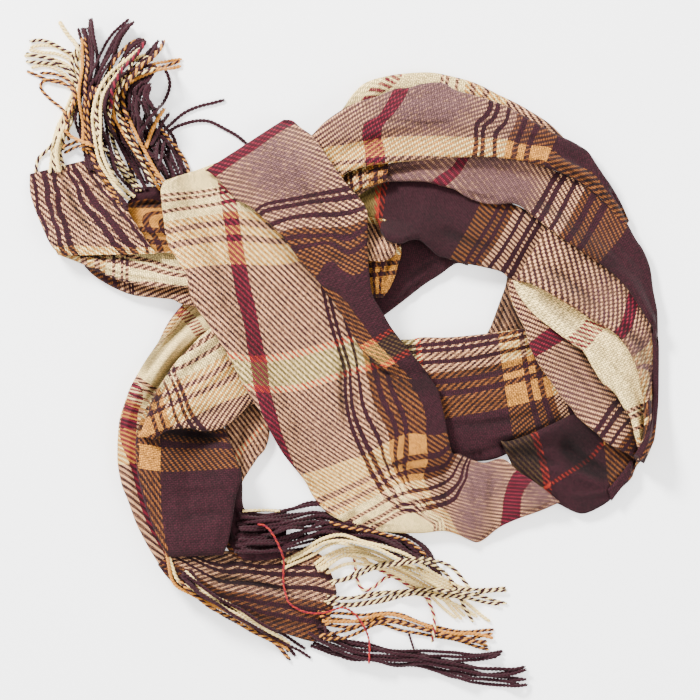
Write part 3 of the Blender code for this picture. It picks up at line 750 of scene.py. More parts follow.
tailOuter = {
    "left": [(206, 288), (192, 295), (183, 304), (172, 317), (165, 328), (158, 342), (147, 358), (138, 373),
             (130, 388), (125, 402), (120, 418), (118, 435), (117.5, 450), (118, 465), (122, 485), (128, 500),
             (135, 520), (142, 535), (149, 548), (157, 561), (165, 574)],
    "right": [(238, 326), (216, 342), (192, 368), (172, 394), (162, 414), (156, 438), (155, 466), (160, 490),
              (170, 518), (182, 542), (196, 560)],
    "warp": [(-116, [(192, 295), (176, 312), (163, 331)]), (-52, [(202, 304), (184, 322), (168, 338),
                                                                  (150, 356)]),
             (-34, [(214, 314), (178, 350), (150, 378)]), (-20, [(238, 322), (204, 348), (172, 392)]),
             (-5.4, [(139.5, 384), (138.5, 410), (137, 444)]), (5.4, [(126, 392), (124, 415), (123, 444)]),
             (20, [(118, 470), (130, 512), (155, 560)]), (-16, [(156, 470), (164, 510), (190, 556)])],
    "weft": [(-30, [(195, 292), (226, 330)]), (-5.4, [(182, 306), (200, 322)]), (5.4, [(175, 314),
                                                                                       (193, 331)]),
             (60.6, [(138, 377), (158, 390)]), (64.95, [(133, 385), (156, 395)]), (72, [(129, 392),
                                                                                        (153, 403)]),
             (83.85, [(123, 404), (150, 413)]), (91.35, [(120, 422), (150, 429)]), (105.6, [(118, 464),
                                                                                            (154, 462)]),
             (132, [(134, 515), (165, 505)]), (150, [(160, 565), (192, 550)])],
    # painted shade, and painted light on the cream ridges where an amount is below zero
    "shadow": [(150, 408, 7, 0.35), (150, 440, 6, 0.4), (152, 470, 6, 0.4), (155, 500, 6, 0.4),
               (196, 326, 16, -0.32), (176, 348, 16, -0.32), (157, 374, 14, -0.28), (160, 344, 12, -0.15)],
    "creases": [(208, 306, 142, 378, 4.5, -4.2), (190, 306, 140, 362, 5, 1.6),
                (214, 328, 146, 408, 4.5, -4.4),
                (206, 318, 150, 384, 6, 2.2), (150, 372, 124, 440, 5, 1.2), (130, 430, 138, 520, 5, 1.4),
                (150, 430, 152, 505, 3.5, -2.4)],
}
layCloth("tail_outer", tailOuter)

tailSide = {
    "left": [(222, 392), (224, 420), (228, 450), (234, 474), (237, 482)],
    "right": [(268, 398), (270, 430), (266, 448), (258, 458), (246, 476), (242, 483)],
    "warp": [(20, [(222, 400), (236, 478)]), (50, [(268, 400), (268, 440), (244, 478)])],
    "weftTurn": (158.7, -1),
    "weft": [(40, [(222, 396), (268, 398)]), (0, [(232, 463), (242, 449), (254, 436), (268, 424)]),
             (-12, [(238, 482), (246, 478)])],
    "lean": -1,
    "shadow": [(232, 408, 20, 0.6), (226, 440, 10, 0.5)],
    "creases": [(248, 410, 240, 470, 5, -1.2)],
}
layCloth("tail_side", tailSide)

tailEnd = {
    "left": [(184, 540), (196, 545), (208, 548), (236, 551), (264, 551), (294, 550), (318, 553), (326, 562),
             (334, 580), (337, 592)],
    "right": [(158, 564), (170, 579), (186, 592), (204, 601), (222, 609), (240, 617), (265, 626.5),
              (290, 635),
              (310, 641), (320, 640), (328, 622), (334, 606)],
    "warp": [(50, [(208, 548), (264, 551), (318, 553)]), (60.6, [(238, 562), (280, 564), (326, 567)]),
             (64.95, [(232, 571), (280, 574), (331, 578)]), (72, [(222, 580), (280, 586), (335, 592)]),
             (83.85, [(210, 590), (270, 602), (330, 612)]), (91.35, [(205, 597), (262, 611), (322, 622)]),
             (104, [(192, 596), (250, 619), (310, 639)])],
    "weft": [(150, [(184, 545), (165, 575)]), (112, [(330, 570), (318, 640)])],
    "shadow": [(200, 560, 24, 0.5), (240, 558, 20, 0.45), (225, 590, 26, 0.35), (280, 600, 44, 0.25)],
    "brushed": [(270, 600, 60, 0.25)],
    "creases": [(205, 578, 300, 596, 4, -2.2), (215, 590, 320, 612, 4, 1.6), (230, 605, 310, 626, 4, -1.4),
                (225, 565, 320, 576, 4, 1.6)],
    "foldedEnd": 6,
}
layCloth("tail_end", tailEnd)

tailLayer = {
    "left": [(222, 462), (222, 490), (222, 517), (226, 546), (242, 559), (264, 560), (286, 557)],
    "right": [(242, 466), (243, 486), (243, 502), (247, 510), (264, 513), (275, 512), (287, 511)],
    "warp": [(115, [(222, 470), (226, 520), (250, 552), (284, 556)]), (150, [(243, 470), (245, 508),
                                                                             (284, 512)])],
    "weft": [(110, [(222, 470), (243, 470)]), (145, [(284, 512), (284, 556)])],
    "creases": [(232, 470, 240, 530, 3, -0.8)],
}
layCloth("tail_layer", tailLayer)

tailPanel = {
    "left": [(152, 398), (143, 415), (138, 430), (136, 446), (137, 462), (139, 478), (147, 508), (157, 534),
             (168, 556)],
    "right": [(214, 404), (226, 430), (236, 455), (242, 476), (237, 495), (233, 520), (229, 541), (224, 554)],
    "warp": [(93, [(139, 470), (150, 510), (160, 540), (168, 556)]),
             (105.6, [(161, 467), (162, 490), (165, 530), (170, 556)]), (138, [(236, 470), (232, 520),
                                                                               (225, 550)]),
             (93, [(140, 448), (140, 460)]), (105.6, [(161, 448), (161, 460)])],
    "weft": [(82, [(160, 425), (220, 432)]), (89.7, [(160, 437), (222, 441)]), (93, [(160, 446), (224, 448)]),
             (105.6, [(140, 467), (232, 467)]), (142, [(160, 545), (230, 543)])],
    "shadow": [(190, 430, 30, 0.5), (160, 434, 10, 0.4), (232, 500, 6, 0.3)],
    "creases": [(165, 430, 222, 440, 6, -3.0), (170, 485, 232, 480, 5, 0.8), (175, 520, 228, 512, 6, -0.9),
                (150, 450, 160, 520, 4, 0.9)],
    "foldedEnd": 6,
}
layCloth("tail_panel", tailPanel)

tailPuff = {
    "left": [(226, 316), (213, 326), (200, 337), (190, 348), (178, 360), (168, 374), (160, 386), (152, 402),
             (147, 418), (141, 434)],
    "right": [(268, 402), (256, 404), (248, 407), (236, 419), (222, 428), (205, 431), (190, 428), (175, 429),
              (165, 432), (156, 440)],
    "warp": [(61.4, [(182, 348), (210, 326)]), (64.95, [(186, 352), (202, 342), (213, 334.5)]),
             (72, [(171.5, 371.5), (219.5, 345)]), (83.85, [(171.5, 391), (229.5, 361.5)]),
             (91.35, [(179.5, 400), (235.5, 374.5)]), (105.6, [(194, 416.5), (246, 394)]),
             (124, [(210, 429), (250, 406)])],
    "weft": [(45, [(250, 330), (268, 380)]), (50, [(215, 340), (235, 410)]), (60.6, [(176, 372), (193, 412)]),
             (72, [(165, 380), (178, 418)]), (83.85, [(157, 392), (166, 424)]), (98, [(146, 418),
                                                                                      (152, 436)])],
    "creases": [(228, 336, 178, 384, 5, -2.0), (244, 360, 186, 402, 7, 2.2), (214, 400, 158, 424, 5, 1.6),
                (176, 372, 152, 416, 4, -1.8), (236, 404, 190, 424, 5, -1.4)],
    "layers": 1,
}
layCloth("tail_puff", tailPuff)

tailRollUnder = {
    "left": [(83, 260), (102, 266), (125, 270), (152, 273), (176, 276), (202, 282)],
    "right": [(85, 267), (93, 275), (103, 282), (118, 290), (135, 296), (158, 298.5), (173, 300), (184, 305),
              (210, 309)],
    "warp": [(112, [(84, 260), (125, 270), (200, 282)]), (136, [(88, 268), (132, 295), (200, 306)])],
    "weft": [(105.6, [(86, 262), (90, 270)]), (93, [(103, 266), (104, 282)]), (83.85, [(116, 269),
                                                                                       (117, 288)]),
             (60.6, [(132, 272), (134, 295)]), (28, [(200, 283), (200, 307)])],
    "creases": [(100, 276, 190, 292, 3, -0.8)],
    "foldedStart": 4,
}
layCloth("tail_roll_under", tailRollUnder)

tailRoll = {
    "left": [(53, 244), (70, 246), (84, 247), (111, 247), (141, 247), (168, 248), (200, 252)],
    "right": [(58, 255), (69, 259), (84, 265), (100, 273), (118, 280), (135, 284), (158, 288), (176, 287.5),
              (206, 290)],
    "warp": [(52, [(100, 248), (150, 250), (190, 255)]), (60.6, [(60, 247), (90, 250), (120, 252.5),
                                                                 (150, 260), (181, 268.5)]),
             (65, [(62, 251), (80, 254), (98, 257), (140, 266), (181, 275.5)]),
             (69, [(84, 262.8), (110, 270), (135, 276.6), (185, 282)])],
    "weft": [(104, [(58, 246), (60, 254)]), (94, [(80, 246), (80, 262)]), (88, [(92, 248), (92, 268)]),
             (80, [(105, 248), (105, 272)]), (58, [(132, 250), (132, 282)]), (30, [(198, 254), (198, 288)])],
    "creases": [(84, 262, 186, 282, 2.2, -1.8), (90, 252, 180, 262, 5, 0.7), (100, 268, 180, 284, 4, 0.8)],
    "foldedStart": 5,
}
layCloth("tail_roll", tailRoll)

tailKnob = {
    "left": [(134, 188), (128, 202), (122, 216), (125, 232), (140, 252)],
    "right": [(162, 186), (168, 202), (172, 220), (176, 237), (182, 254)],
    "warp": [(116, [(134, 188), (162, 187)]), (108, [(128, 202), (168, 202)]), (100, [(124, 214),
                                                                                      (135, 236)]),
             (92, [(150, 214), (156, 238)]), (84, [(170, 218), (178, 244)])],
    "weft": [(122, [(134, 188), (162, 186)]), (106.5, [(130, 207), (168, 207)]), (99, [(126, 218),
                                                                                       (170, 220)]),
             (91.35, [(130, 230), (174, 232)]), (83.85, [(134, 242), (178, 244)]), (79, [(140, 251),
                                                                                         (182, 252)])],
    "creases": [(130, 207, 168, 205, 3, -3.0), (133, 195, 164, 193, 4, 1.6), (128, 214, 172, 218, 4, 1.4),
                (134, 232, 174, 236, 3, -1.4), (138, 244, 178, 246, 4, 0.9)],
    "layers": 1,
}
layCloth("tail_knob", tailKnob)

tailLobe = {
    "left": [(29.5, 174), (30, 192), (35, 209), (43, 228), (52, 246), (62, 256)],
    "right": [(90, 159), (106, 184), (118, 197), (127, 209), (137, 224), (150, 244), (158, 254)],
    "warpTurn": (52, 1),
    "warp": [(24, [(30, 178), (34, 205), (45, 232)]), (20, [(34.4, 178), (38.9, 211), (48.7, 237)]),
             (16.4, [(38, 174), (41.8, 192), (47.6, 214.6), (55.6, 241)]),
             (13, [(44.7, 178), (47.6, 197.4), (53.3, 220.4), (60.2, 243)]),
             (10.7, [(51, 175.6), (54.4, 197.4), (60.2, 220.4), (67.1, 242)]),
             (8.6, [(56.7, 174), (60.8, 194), (65.9, 220.4), (72.2, 243)]),
             (0, [(63, 178), (71, 204), (83, 227), (93, 243)]),
             (-8.6, [(68, 174), (79, 199), (89, 213.5), (103, 229), (113, 243)]),
             (-10.7, [(71, 173), (83, 195), (94, 211), (108, 227), (119, 243)]),
             (-13, [(77, 172), (90, 193), (103, 211), (118, 229), (129, 243)]),
             (-16.4, [(81, 168), (95, 189), (110, 207), (125, 225), (138, 243)]),
             (-20, [(86, 166), (100, 186), (115, 203), (131, 223), (146, 243)]),
             (-27, [(90, 160), (106, 184), (122, 202), (138, 222), (152, 243)])],
    "weft": [(150, [(30, 175), (90, 160)]), (107, [(52, 245), (100, 245.5), (154, 246)]),
             (101, [(58, 254), (110, 255), (158, 254)])],
    "creases": [(62, 174, 98, 240, 3.0, -2.6), (48, 178, 72, 244, 6, 1.6), (76, 174, 116, 236, 5, 1.2),
                (90, 172, 140, 240, 4, -1.6), (98, 176, 150, 240, 4, 1.2), (34, 180, 50, 236, 3, 0.8)],
    "foldedStart": 5,
}
layCloth("tail_lobe", tailLobe)

bandMiddle = {
    "left": [(384, 348), (399, 340), (411, 339), (422, 337), (448, 337), (480, 334), (500, 331.5),
             (521, 328.5),
             (550, 322)],
    "right": [(402, 452), (430, 454), (453, 456), (473, 461), (491, 460), (509, 453), (533, 438), (557, 425),
              (573, 417), (592, 405)],
    "shadow": [(560, 425, 10, 0.3), (470, 455, 8, 0.3), (410, 360, 12, 0.4), (420, 440, 10, 0.3)],
    "warp": [(60.6, [(407, 346), (471, 339), (528, 329)]), (72, [(407, 363), (471, 358), (528, 346)]),
             (83.85, [(410, 382), (471, 377), (532, 362)]), (91.35, [(410, 394), (471, 390), (540, 374)]),
             (105.6, [(415, 421), (471, 413.5), (550, 396)]), (126, [(420, 452), (453, 452), (491, 446),
                                                                     (533, 431), (565, 418)])],
    "weft": [(158.7, [(419, 345), (421, 365), (430, 400), (440, 445)]), (105.6, [(498, 334), (502, 365),
                                                                                 (507, 400), (514, 440)]),
             (93, [(518, 330), (523, 365), (529, 400), (537, 430)]), (83.85, [(533, 330), (545.5, 400),
                                                                              (553, 422)])],
    "creases": [(430, 350, 520, 342, 4, 0.9), (440, 372, 530, 360, 5, -1.2), (430, 398, 545, 384, 6, 1.2),
                (440, 425, 550, 408, 5, -1.2), (480, 438, 560, 416, 3, 0.8)],
}
layCloth("band_middle", bandMiddle)

turnInside = {
    "left": [(500, 440), (507, 441), (520, 437), (533, 432), (557, 421), (573, 414), (590, 420), (618, 434),
             (634, 448)],
    "right": [(514, 470), (528, 482), (545, 497), (560, 505), (575, 512.5), (585, 513.5), (598, 508),
              (610, 500),
              (620, 488), (630, 478)],
    "weftTurn": (158.7, -1),
    "warp": [(168, [(514, 440), (520, 470)]), (158.7, [(536, 437), (541, 452), (546, 472)]),
             (150, [(552, 450), (562, 490)]), (125, [(585, 440), (592, 490)]),
             (106.5, [(602, 441), (606, 478), (612, 492)]), (97, [(628, 448), (630, 470)])],
    "weft": [(0, [(602, 443), (590, 458), (577, 467), (562, 476)]), (26, [(560, 425), (530, 440)]),
             (10, [(540, 476)]), (-26, [(622, 478), (590, 505)]), (-16, [(560, 500)])],
    "shadow": [(578, 438, 26, 0.75), (614, 468, 16, 0.45), (590, 505, 16, 0.4), (524, 455, 20, 0.6)],
    "creases": [(560, 440, 612, 478, 8, -4.0), (545, 466, 612, 492, 5, 1.8), (520, 446, 560, 466, 5, -1.6),
                (562, 494, 612, 490, 3, 1.2)],
}
layCloth("turn_inside", turnInside)

knotTan = {
    "left": [(362, 250), (363, 267), (365, 284), (368, 298)],
    "right": [(401, 245), (401, 256), (398, 266), (395, 277), (390, 288), (383, 298)],
    "warp": [(78, [(364, 250), (370, 296)]), (100, [(400, 250), (386, 294)])],
    "weft": [(74, [(364, 252), (400, 248)]), (108, [(366, 298), (386, 296)])],
    "creases": [(392, 250, 386, 288, 3, -1.6), (376, 256, 376, 294, 4, 1.2)],
    "foldedEnd": 4,
    "layers": 1,
}
layCloth("knot_tan", knotTan)

knotMarl = {
    "left": [(360, 216), (358, 228), (357, 239), (358, 250), (361, 261)],
    "right": [(386, 220), (390, 229), (395, 237), (397, 246), (394, 256), (384, 262)],
    "warp": [(18, [(360, 230), (360, 260)]), (44, [(392, 240), (386, 260)])],
    "weft": [(112, [(362, 230), (388, 234)]), (135, [(362, 260), (388, 260)])],
    "layers": 1,
}
layCloth("knot_marl", knotMarl)

loopInner = {
    "left": [(356, 194), (374, 184), (396, 177), (425, 177), (456, 188), (490, 197), (520, 207), (548, 224)],
    "right": [(366, 222), (377, 222), (381, 234), (390, 243), (401, 244.5), (410, 241), (419, 241),
              (428, 248),
              (437, 256), (447, 259), (460, 263), (480, 267), (500, 272), (509, 279), (520, 285)],
    "warp": [(168, [(366, 205), (368, 216)]), (158.7, [(378, 195), (377, 216)]), (150, [(392, 190),
                                                                                        (390, 235)]),
             (125, [(430, 182), (428, 244)]), (112, [(520, 207), (516, 284)])],
    "weft": [(105.6, [(482, 200), (466, 232), (450, 259)]), (93, [(498, 205), (480, 236), (462, 266)]),
             (83.85, [(508, 208), (491, 240), (472, 268)]), (72, [(524, 212), (506, 244), (488, 270)]),
             (60.6, [(543, 220), (513, 273)]), (135, [(430, 182), (412, 242)]), (165, [(372, 196),
                                                                                       (368, 225)])],
    "shadow": [(405, 215, 34, 0.35), (450, 240, 30, 0.25)],
    "creases": [(400, 205, 450, 230, 8, 1.4), (430, 222, 500, 250, 6, -1.4), (450, 205, 520, 232, 6, 1.0),
                (395, 225, 420, 238, 5, 0.8)],
}
layCloth("loop_inner", loopInner)

twistFront = {
    "left": [(508, 281), (508, 290), (511.5, 303), (518, 318), (524, 330), (528, 345), (533, 356), (540, 368),
             (550, 382), (560, 397), (570, 408), (576, 416.5), (585, 424.5), (595, 433), (602, 440),
             (612, 446.5),
             (628, 454.5), (633, 459)],
    "right": [(518, 279), (532, 299), (554, 319), (580, 342), (600, 362), (614, 382), (624, 397), (634, 414),
              (638, 431), (638, 448)],
    "warp": [(112, [(510, 290), (533, 358), (570, 410), (628, 456)]), (150, [(520, 284), (580, 340),
                                                                             (614, 382), (638, 430)])],
    "weft": [(-40, [(508, 284), (520, 282)]), (-5.4, [(528, 344), (552, 326)]), (5.4, [(535, 356),
                                                                                       (567, 337)]),
             (60.6, [(592, 432), (612, 404)]), (66, [(600, 439), (622, 411)]), (72, [(608, 445), (630, 418)]),
             (83.85, [(620, 452), (636, 432)]), (92, [(628, 457), (638, 442)])],
    "brushed": [(575, 390, 34, 0.35)],
    "creases": [(520, 310, 575, 392, 4, 1.2), (545, 340, 600, 408, 4, -1.2), (580, 390, 628, 436, 4, 1.0)],
    "foldedStart": 3,
    "foldedEnd": 3,
}
layCloth("twist_front", twistFront)

twistLens = {
    "left": [(515, 281), (522, 296), (535, 312), (552, 326), (572, 341), (585, 350), (594, 365), (605, 382),
             (617, 392), (625, 405), (632, 416), (636, 432), (640, 450), (637, 463)],
    "right": [(522, 281), (535, 286), (552, 293.5), (575, 309), (588, 317), (600, 323), (612, 330),
              (618, 340),
              (627, 352), (634, 365), (638, 380), (641.5, 400), (644, 410), (645, 425), (645, 442),
              (641, 460)],
    "warp": [(18, [(520, 290), (552, 322), (594, 362), (632, 412)]), (46, [(535, 288), (588, 318), (627, 354),
                                                                           (644, 412)])],
    "weft": [(-34, [(515, 281), (523, 280)]), (-5.4, [(571, 335), (588, 319)]), (5.4, [(583, 349),
                                                                                       (605, 326)]),
             (60.6, [(632, 408), (644, 404)]), (66, [(634, 417), (645, 413)]), (72, [(636, 427), (645, 424)]),
             (90, [(638, 455), (645, 450)])],
    # painted light over the lens, and none of the painted shade of its creases and of what lies over it
    "shadow": [(572, 314, 40, -0.34), (615, 352, 36, -0.24), (636, 392, 22, -0.2)],
    "widen": 3.5,
    "shaded": 0.0,
    "creases": [(528, 292, 600, 348, 4, 1.4), (560, 322, 624, 388, 4, -0.9), (592, 334, 634, 392, 4, 1.1)],
    "foldedStart": 3,
    "foldedEnd": 3,
}
layCloth("twist_lens", twistLens)

twistBack = {
    "left": [(548, 224), (580, 246), (610, 270), (634, 294), (649, 318), (655, 348), (656.5, 380), (655, 410),
             (651, 438), (641, 462)],
    "right": [(515, 279), (530, 282), (546, 290), (572, 305), (594, 319), (613, 330), (624, 340), (634, 358),
              (640, 376), (645, 406), (644, 436), (636, 459)],
    "warp": [(105, [(548, 226), (600, 262), (645, 306)]), (150, [(512, 279), (572, 305), (613, 330)]),
             (100, [(654, 350), (655, 400)]), (88, [(638, 372), (645, 405)])],
    "weft": [(-46, [(550, 226), (524, 282)]), (-5.4, [(627, 300), (614, 331)]), (5.4, [(637, 303),
                                                                                       (623, 338)]),
             (40, [(655, 345), (632, 352)]), (60, [(656, 400), (645, 402)])],
    "brushed": [(600, 300, 26, 0.4), (645, 360, 26, 0.9)],
    "shadow": [(640, 350, 12, 0.3), (648, 392, 14, 0.6)],
    "widen": 2.5,
    "sinks": (0.45, 0.6),
    "creases": [(548, 240, 610, 290, 6, 1.4), (535, 262, 600, 306, 5, -1.4), (590, 280, 640, 330, 5, 1.2),
                (622, 322, 650, 350, 5, -1.6), (636, 345, 650, 392, 4, 1.6)],
    "foldedEnd": 4,
}
layCloth("twist_back", twistBack)

loopMiddle = {
    "left": [(352, 190), (375, 170), (402, 160), (436, 154), (470, 152), (505, 154), (530, 161), (550, 169),
             (570, 177), (590, 189), (605, 203), (618, 214), (626, 222), (636, 240), (643, 250), (650, 268),
             (653, 290), (657, 312), (658, 334)],
    "right": [(356, 198), (370, 189), (385, 183), (400, 182), (425, 182.5), (443, 187), (455, 190.5),
              (465, 197),
              (480, 203), (495, 205), (510, 204), (520, 207), (530, 215), (551, 232), (579, 251), (604, 268),
              (622, 284), (634, 300), (644, 316), (651, 327), (654, 338)],
    "warp": [(112, [(375, 172), (436, 156), (505, 156), (570, 180), (618, 218), (645, 262)]),
             (150, [(385, 182), (443, 186), (495, 204), (530, 214), (580, 250), (622, 284), (645, 316)])],
    "weft": [(-40, [(360, 186), (362, 194)]), (-5.4, [(455, 164), (428, 186)]), (5.4, [(465, 164),
                                                                                       (444, 187)]),
             (60.6, [(553, 178), (534, 210)]), (66, [(564, 181), (545, 215)]), (72, [(574, 184), (554, 222)]),
             (83.85, [(590, 198), (568, 236)]), (91.35, [(602, 208), (580, 246)]), (105.6, [(622, 234),
                                                                                            (598, 262)]),
             (148, [(656, 322), (648, 324)])],
    "brushed": [(400, 172, 40, 0.9), (480, 178, 40, 0.9), (520, 190, 24, 0.7), (600, 240, 30, 0.3)],
    "creases": [(400, 168, 500, 172, 5, 1.0), (470, 186, 560, 206, 6, -1.0), (540, 180, 612, 226, 6, 1.2),
                (560, 214, 630, 276, 6, -1.2), (600, 216, 644, 280, 5, 1.2), (430, 178, 520, 196, 4, 0.8)],
    "foldedEnd": 4,
}
layCloth("loop_middle", loopMiddle)

turnRim = {
    "left": [(653, 318), (657, 330), (658.5, 345), (658.5, 372), (658, 400), (656, 420), (653, 440),
             (647, 450),
             (638, 463), (631, 478), (621, 488), (611, 501)],
    "right": [(650, 330), (652, 346), (652, 362), (651.5, 385), (651, 400), (647, 428), (638, 445),
              (625, 467),
              (607, 489)],
    "warp": [(112, [(658, 340), (658, 400), (620, 486)]), (126, [(652, 346), (651, 400), (612, 484)])],
    "weft": [(120, [(651, 330), (657, 330)]), (150, [(612, 486), (616, 492)])],
    "drapesOver": ["twist_back", "twist_lens", "twist_front", "turn_inside", "loop_middle"],
    "layers": 1,
}
layCloth("turn_rim", turnRim)

crestTuck = {
    "left": [(340, 170), (364, 163), (389, 158)],
    "right": [(346, 194), (354, 192.5), (362, 190), (374, 186), (386, 182)],
    "warp": [(98, [(342, 172), (388, 160)]), (80, [(346, 193), (386, 182)])],
    "weft": [(60, [(344, 172), (346, 192)]), (92, [(386, 160), (385, 182)])],
    "creases": [(356, 168, 354, 190, 3, 1.0), (368, 166, 368, 188, 3, -1.0)],
    "layers": 1,
}
layCloth("crest_tuck", crestTuck)

loopTop = {
    "left": [(302, 142), (312, 135), (325, 122), (340, 111.5), (350, 106), (360, 102), (380, 96), (395, 89.5),
             (408, 88.5), (420, 85), (435, 83), (446, 85), (455, 91), (470, 95), (490, 101), (506, 107),
             (524, 117),
             (540, 126), (556, 135), (570, 141), (580, 146.5), (588, 152), (595, 163), (603, 175), (613, 189),
             (622, 205), (629, 221)],
    "right": [(332, 188), (343, 177), (352, 171.5), (368, 167), (390, 164), (420, 161), (470, 158),
              (500, 159.5),
              (525, 163), (550, 170), (570, 178), (585, 187), (600, 199), (613, 214), (624, 228)],
    "warp": [(105.6, [(327, 148), (363, 142), (397, 138), (421, 137), (470, 139), (506, 141), (550, 149),
                      (590, 172), (616, 204)]),
             (93, [(334, 163), (368, 159.5), (409, 157), (470, 158), (518, 161.5), (554, 170), (588, 190),
                   (610, 211)]),
             (138, [(325, 122), (350, 106), (386, 94), (430, 86), (470, 96), (506, 108), (540, 127),
                    (570, 142)])],
    "weft": [(-32, [(325, 122), (334, 164)]), (-5.4, [(395, 89), (378, 118), (366, 124), (365.4, 150),
                                                      (366, 166)]),
             (5.4, [(409, 88), (391, 117), (384, 124), (383.6, 150), (384, 164)]),
             (60.6, [(490, 100), (484, 117), (476, 124), (475, 140), (472, 160)]),
             (64.95, [(498, 104), (492, 120), (484.5, 126), (481, 158)]),
             (72, [(508, 109), (504, 124), (497, 130), (493, 160)]),
             (83.85, [(524, 117), (516, 140), (511, 162)]), (91.35, [(537, 125), (528, 145), (524, 163)]),
             (105.6, [(557, 136), (550, 150), (544, 166)]), (140, [(600, 172), (590, 186)]),
             (148, [(616, 198), (606, 206)])],
    "brushed": [(400, 104, 40, 0.7), (450, 104, 34, 0.9), (340, 130, 22, 0.3), (520, 125, 28, 0.5)],
    "creases": [(372, 119, 470, 120, 3, -0.9), (470, 122, 550, 140, 3, -0.8), (390, 104, 480, 106, 8, 1.2),
                (330, 140, 400, 126, 6, 0.8), (520, 150, 580, 164, 5, 0.8)],
    "runsInto": ("loop_middle", 16),
}
layCloth("loop_top", loopTop)

bandFront = {
    "left": [(165, 182), (161.5, 191), (162.5, 204), (164, 218), (168, 243), (179, 262), (187, 276),
             (192, 299),
             (205, 319), (221, 343), (230, 358), (244, 385), (261, 413), (272, 434), (284, 455), (304, 480),
             (312, 495), (324, 510), (344, 522), (366, 530), (385, 532), (405, 533), (424, 533), (443, 531),
             (458, 535), (472, 541.5), (478, 542.5), (485, 539), (500, 527), (520, 518), (540, 511),
             (560, 502)],
    "right": [(250, 150), (316, 171), (330, 188), (350, 230), (360, 275), (376, 315), (404, 345), (416, 360),
              (429, 377), (437, 388), (440, 398), (444, 415), (447, 432), (452, 452), (458, 453),
              (473, 459.5),
              (485, 462), (499, 458), (508, 461), (517, 470), (535, 482), (549, 493)],
    "warp": [(-43, [(162, 196), (168, 243), (190, 285)]), (-30, [(222, 343)]), (-13, [(245, 385)]),
             (-6.6, [(262, 413)]),
             (-5.4, [(219, 184), (226, 228), (232, 266), (238, 299), (248, 345), (254, 379), (263, 410),
                     (270, 428)]),
             (5.4, [(234, 188), (240, 230), (246, 264), (254, 302), (261, 337), (267, 364), (270, 390),
                    (275.5, 409.5),
                    (280.5, 428.5), (287, 448), (295.5, 467), (303, 480), (313, 496)]),
             (40, [(280, 190), (288, 240), (297, 300), (305, 337)]), (36, [(310, 400), (322, 440), (346, 484),
                                                                           (364, 506)]),
             (60.6, [(344, 370), (346, 405), (353, 433), (361, 452), (371, 474), (382, 494), (402, 510),
                     (434, 530)]),
             (64.95, [(350, 370), (352, 405), (361, 433), (370, 452), (380, 472), (392, 489), (412, 505),
                      (438, 525)]),
             (72, [(357, 370), (362.5, 405), (375.5, 433), (382, 450), (388, 468), (399, 485), (418, 501),
                   (440, 519)]),
             (83.85, [(373, 370), (384, 405), (395.5, 433), (394, 453), (397, 470), (405, 485), (421, 498)]),
             (91.35, [(386, 370), (398, 405), (405.5, 433), (405, 456), (406, 476), (412, 488), (425, 499)]),
             (105.6, [(403, 370), (422, 405), (425.5, 433), (427, 462), (429, 490), (437, 506), (452, 522)]),
             (121, [(446, 430)]), (112, [(470, 536), (500, 526), (545, 508)]),
             (150, [(462, 457), (485, 464), (515, 472), (545, 490)])],
    "weft": [(60.6, [(162, 196), (190, 193), (217, 189)]), (64.95, [(163, 202), (190, 198), (217, 194)]),
             (72, [(166, 212), (190, 208), (217, 204), (236, 200)]), (83.85, [(170, 230), (198, 225),
                                                                              (226, 221), (257, 223)]),
             (91.35, [(171, 246), (198, 241), (226, 238), (282, 241)]), (105.6, [(186, 269), (228, 264),
                                                                                 (299, 261)]),
             (158.7, [(228, 354), (249, 358), (292, 354), (341, 341)]),
             (177.9, [(246, 387), (272, 390), (303, 387), (343, 375), (368, 368), (385, 364), (406, 354)]),
             (231, [(301, 475), (322, 469), (351, 459), (360, 457), (409, 433.5), (445, 432)]),
             (245.25, [(322, 500), (345, 490), (370, 478), (396, 464), (428, 456), (446, 449)]),
             (252.75, [(336, 508), (355, 499), (372, 490), (398, 476), (428, 470.5), (448, 463)]),
             (264.6, [(357, 517), (372, 509), (386, 500.5), (405, 493), (428, 489), (447, 481), (457, 466)]),
             (271.65, [(371, 521), (383, 515), (396, 507), (412, 502.5), (430, 499), (450, 491), (462, 472)]),
             (276, [(379, 525), (391, 518), (403, 512.5), (418, 510.5), (434, 507), (456, 498), (467, 476)]),
             (300, [(460, 532), (473, 505), (484, 470)]), (331.2, [(500, 527), (503.6, 500), (513, 474)]),
             (342, [(519, 518), (520, 500), (531, 480)]), (356, [(541, 510), (541, 498), (547, 492)])],
    "brushed": [(480, 480, 26, 1.0), (540, 490, 24, 0.9), (470, 520, 20, 0.8), (300, 330, 40, 0.1),
                (320, 430, 30, 0.2)],
    "shadow": [(350, 372, 9, 0.5), (348, 400, 7, 0.4), (372, 376, 8, 0.35)],
    "creases": [(344, 352, 347, 430, 2.4, -2.6), (354, 366, 362, 440, 3.5, 1.1),
                (372, 384, 388, 450, 3.5, -1.1),
                (394, 392, 404, 446, 4, 1.0), (300, 300, 338, 345, 6, 0.9), (210, 290, 300, 440, 12, 0.8),
                (360, 452, 420, 470, 4, -1.3), (350, 486, 440, 496, 5, 1.2), (420, 440, 440, 520, 5, 1.4),
                (444, 462, 450, 524, 4, -1.6), (470, 470, 476, 536, 5, 1.2), (492, 466, 494, 528, 4, -1.0),
                (190, 196, 280, 216, 7, 1.0)],
    "foldedStart": 4,
    "foldedEnd": 3,
    "cell": 1.15,
    "layers": 3,
}
layCloth("band_front", bandFront)

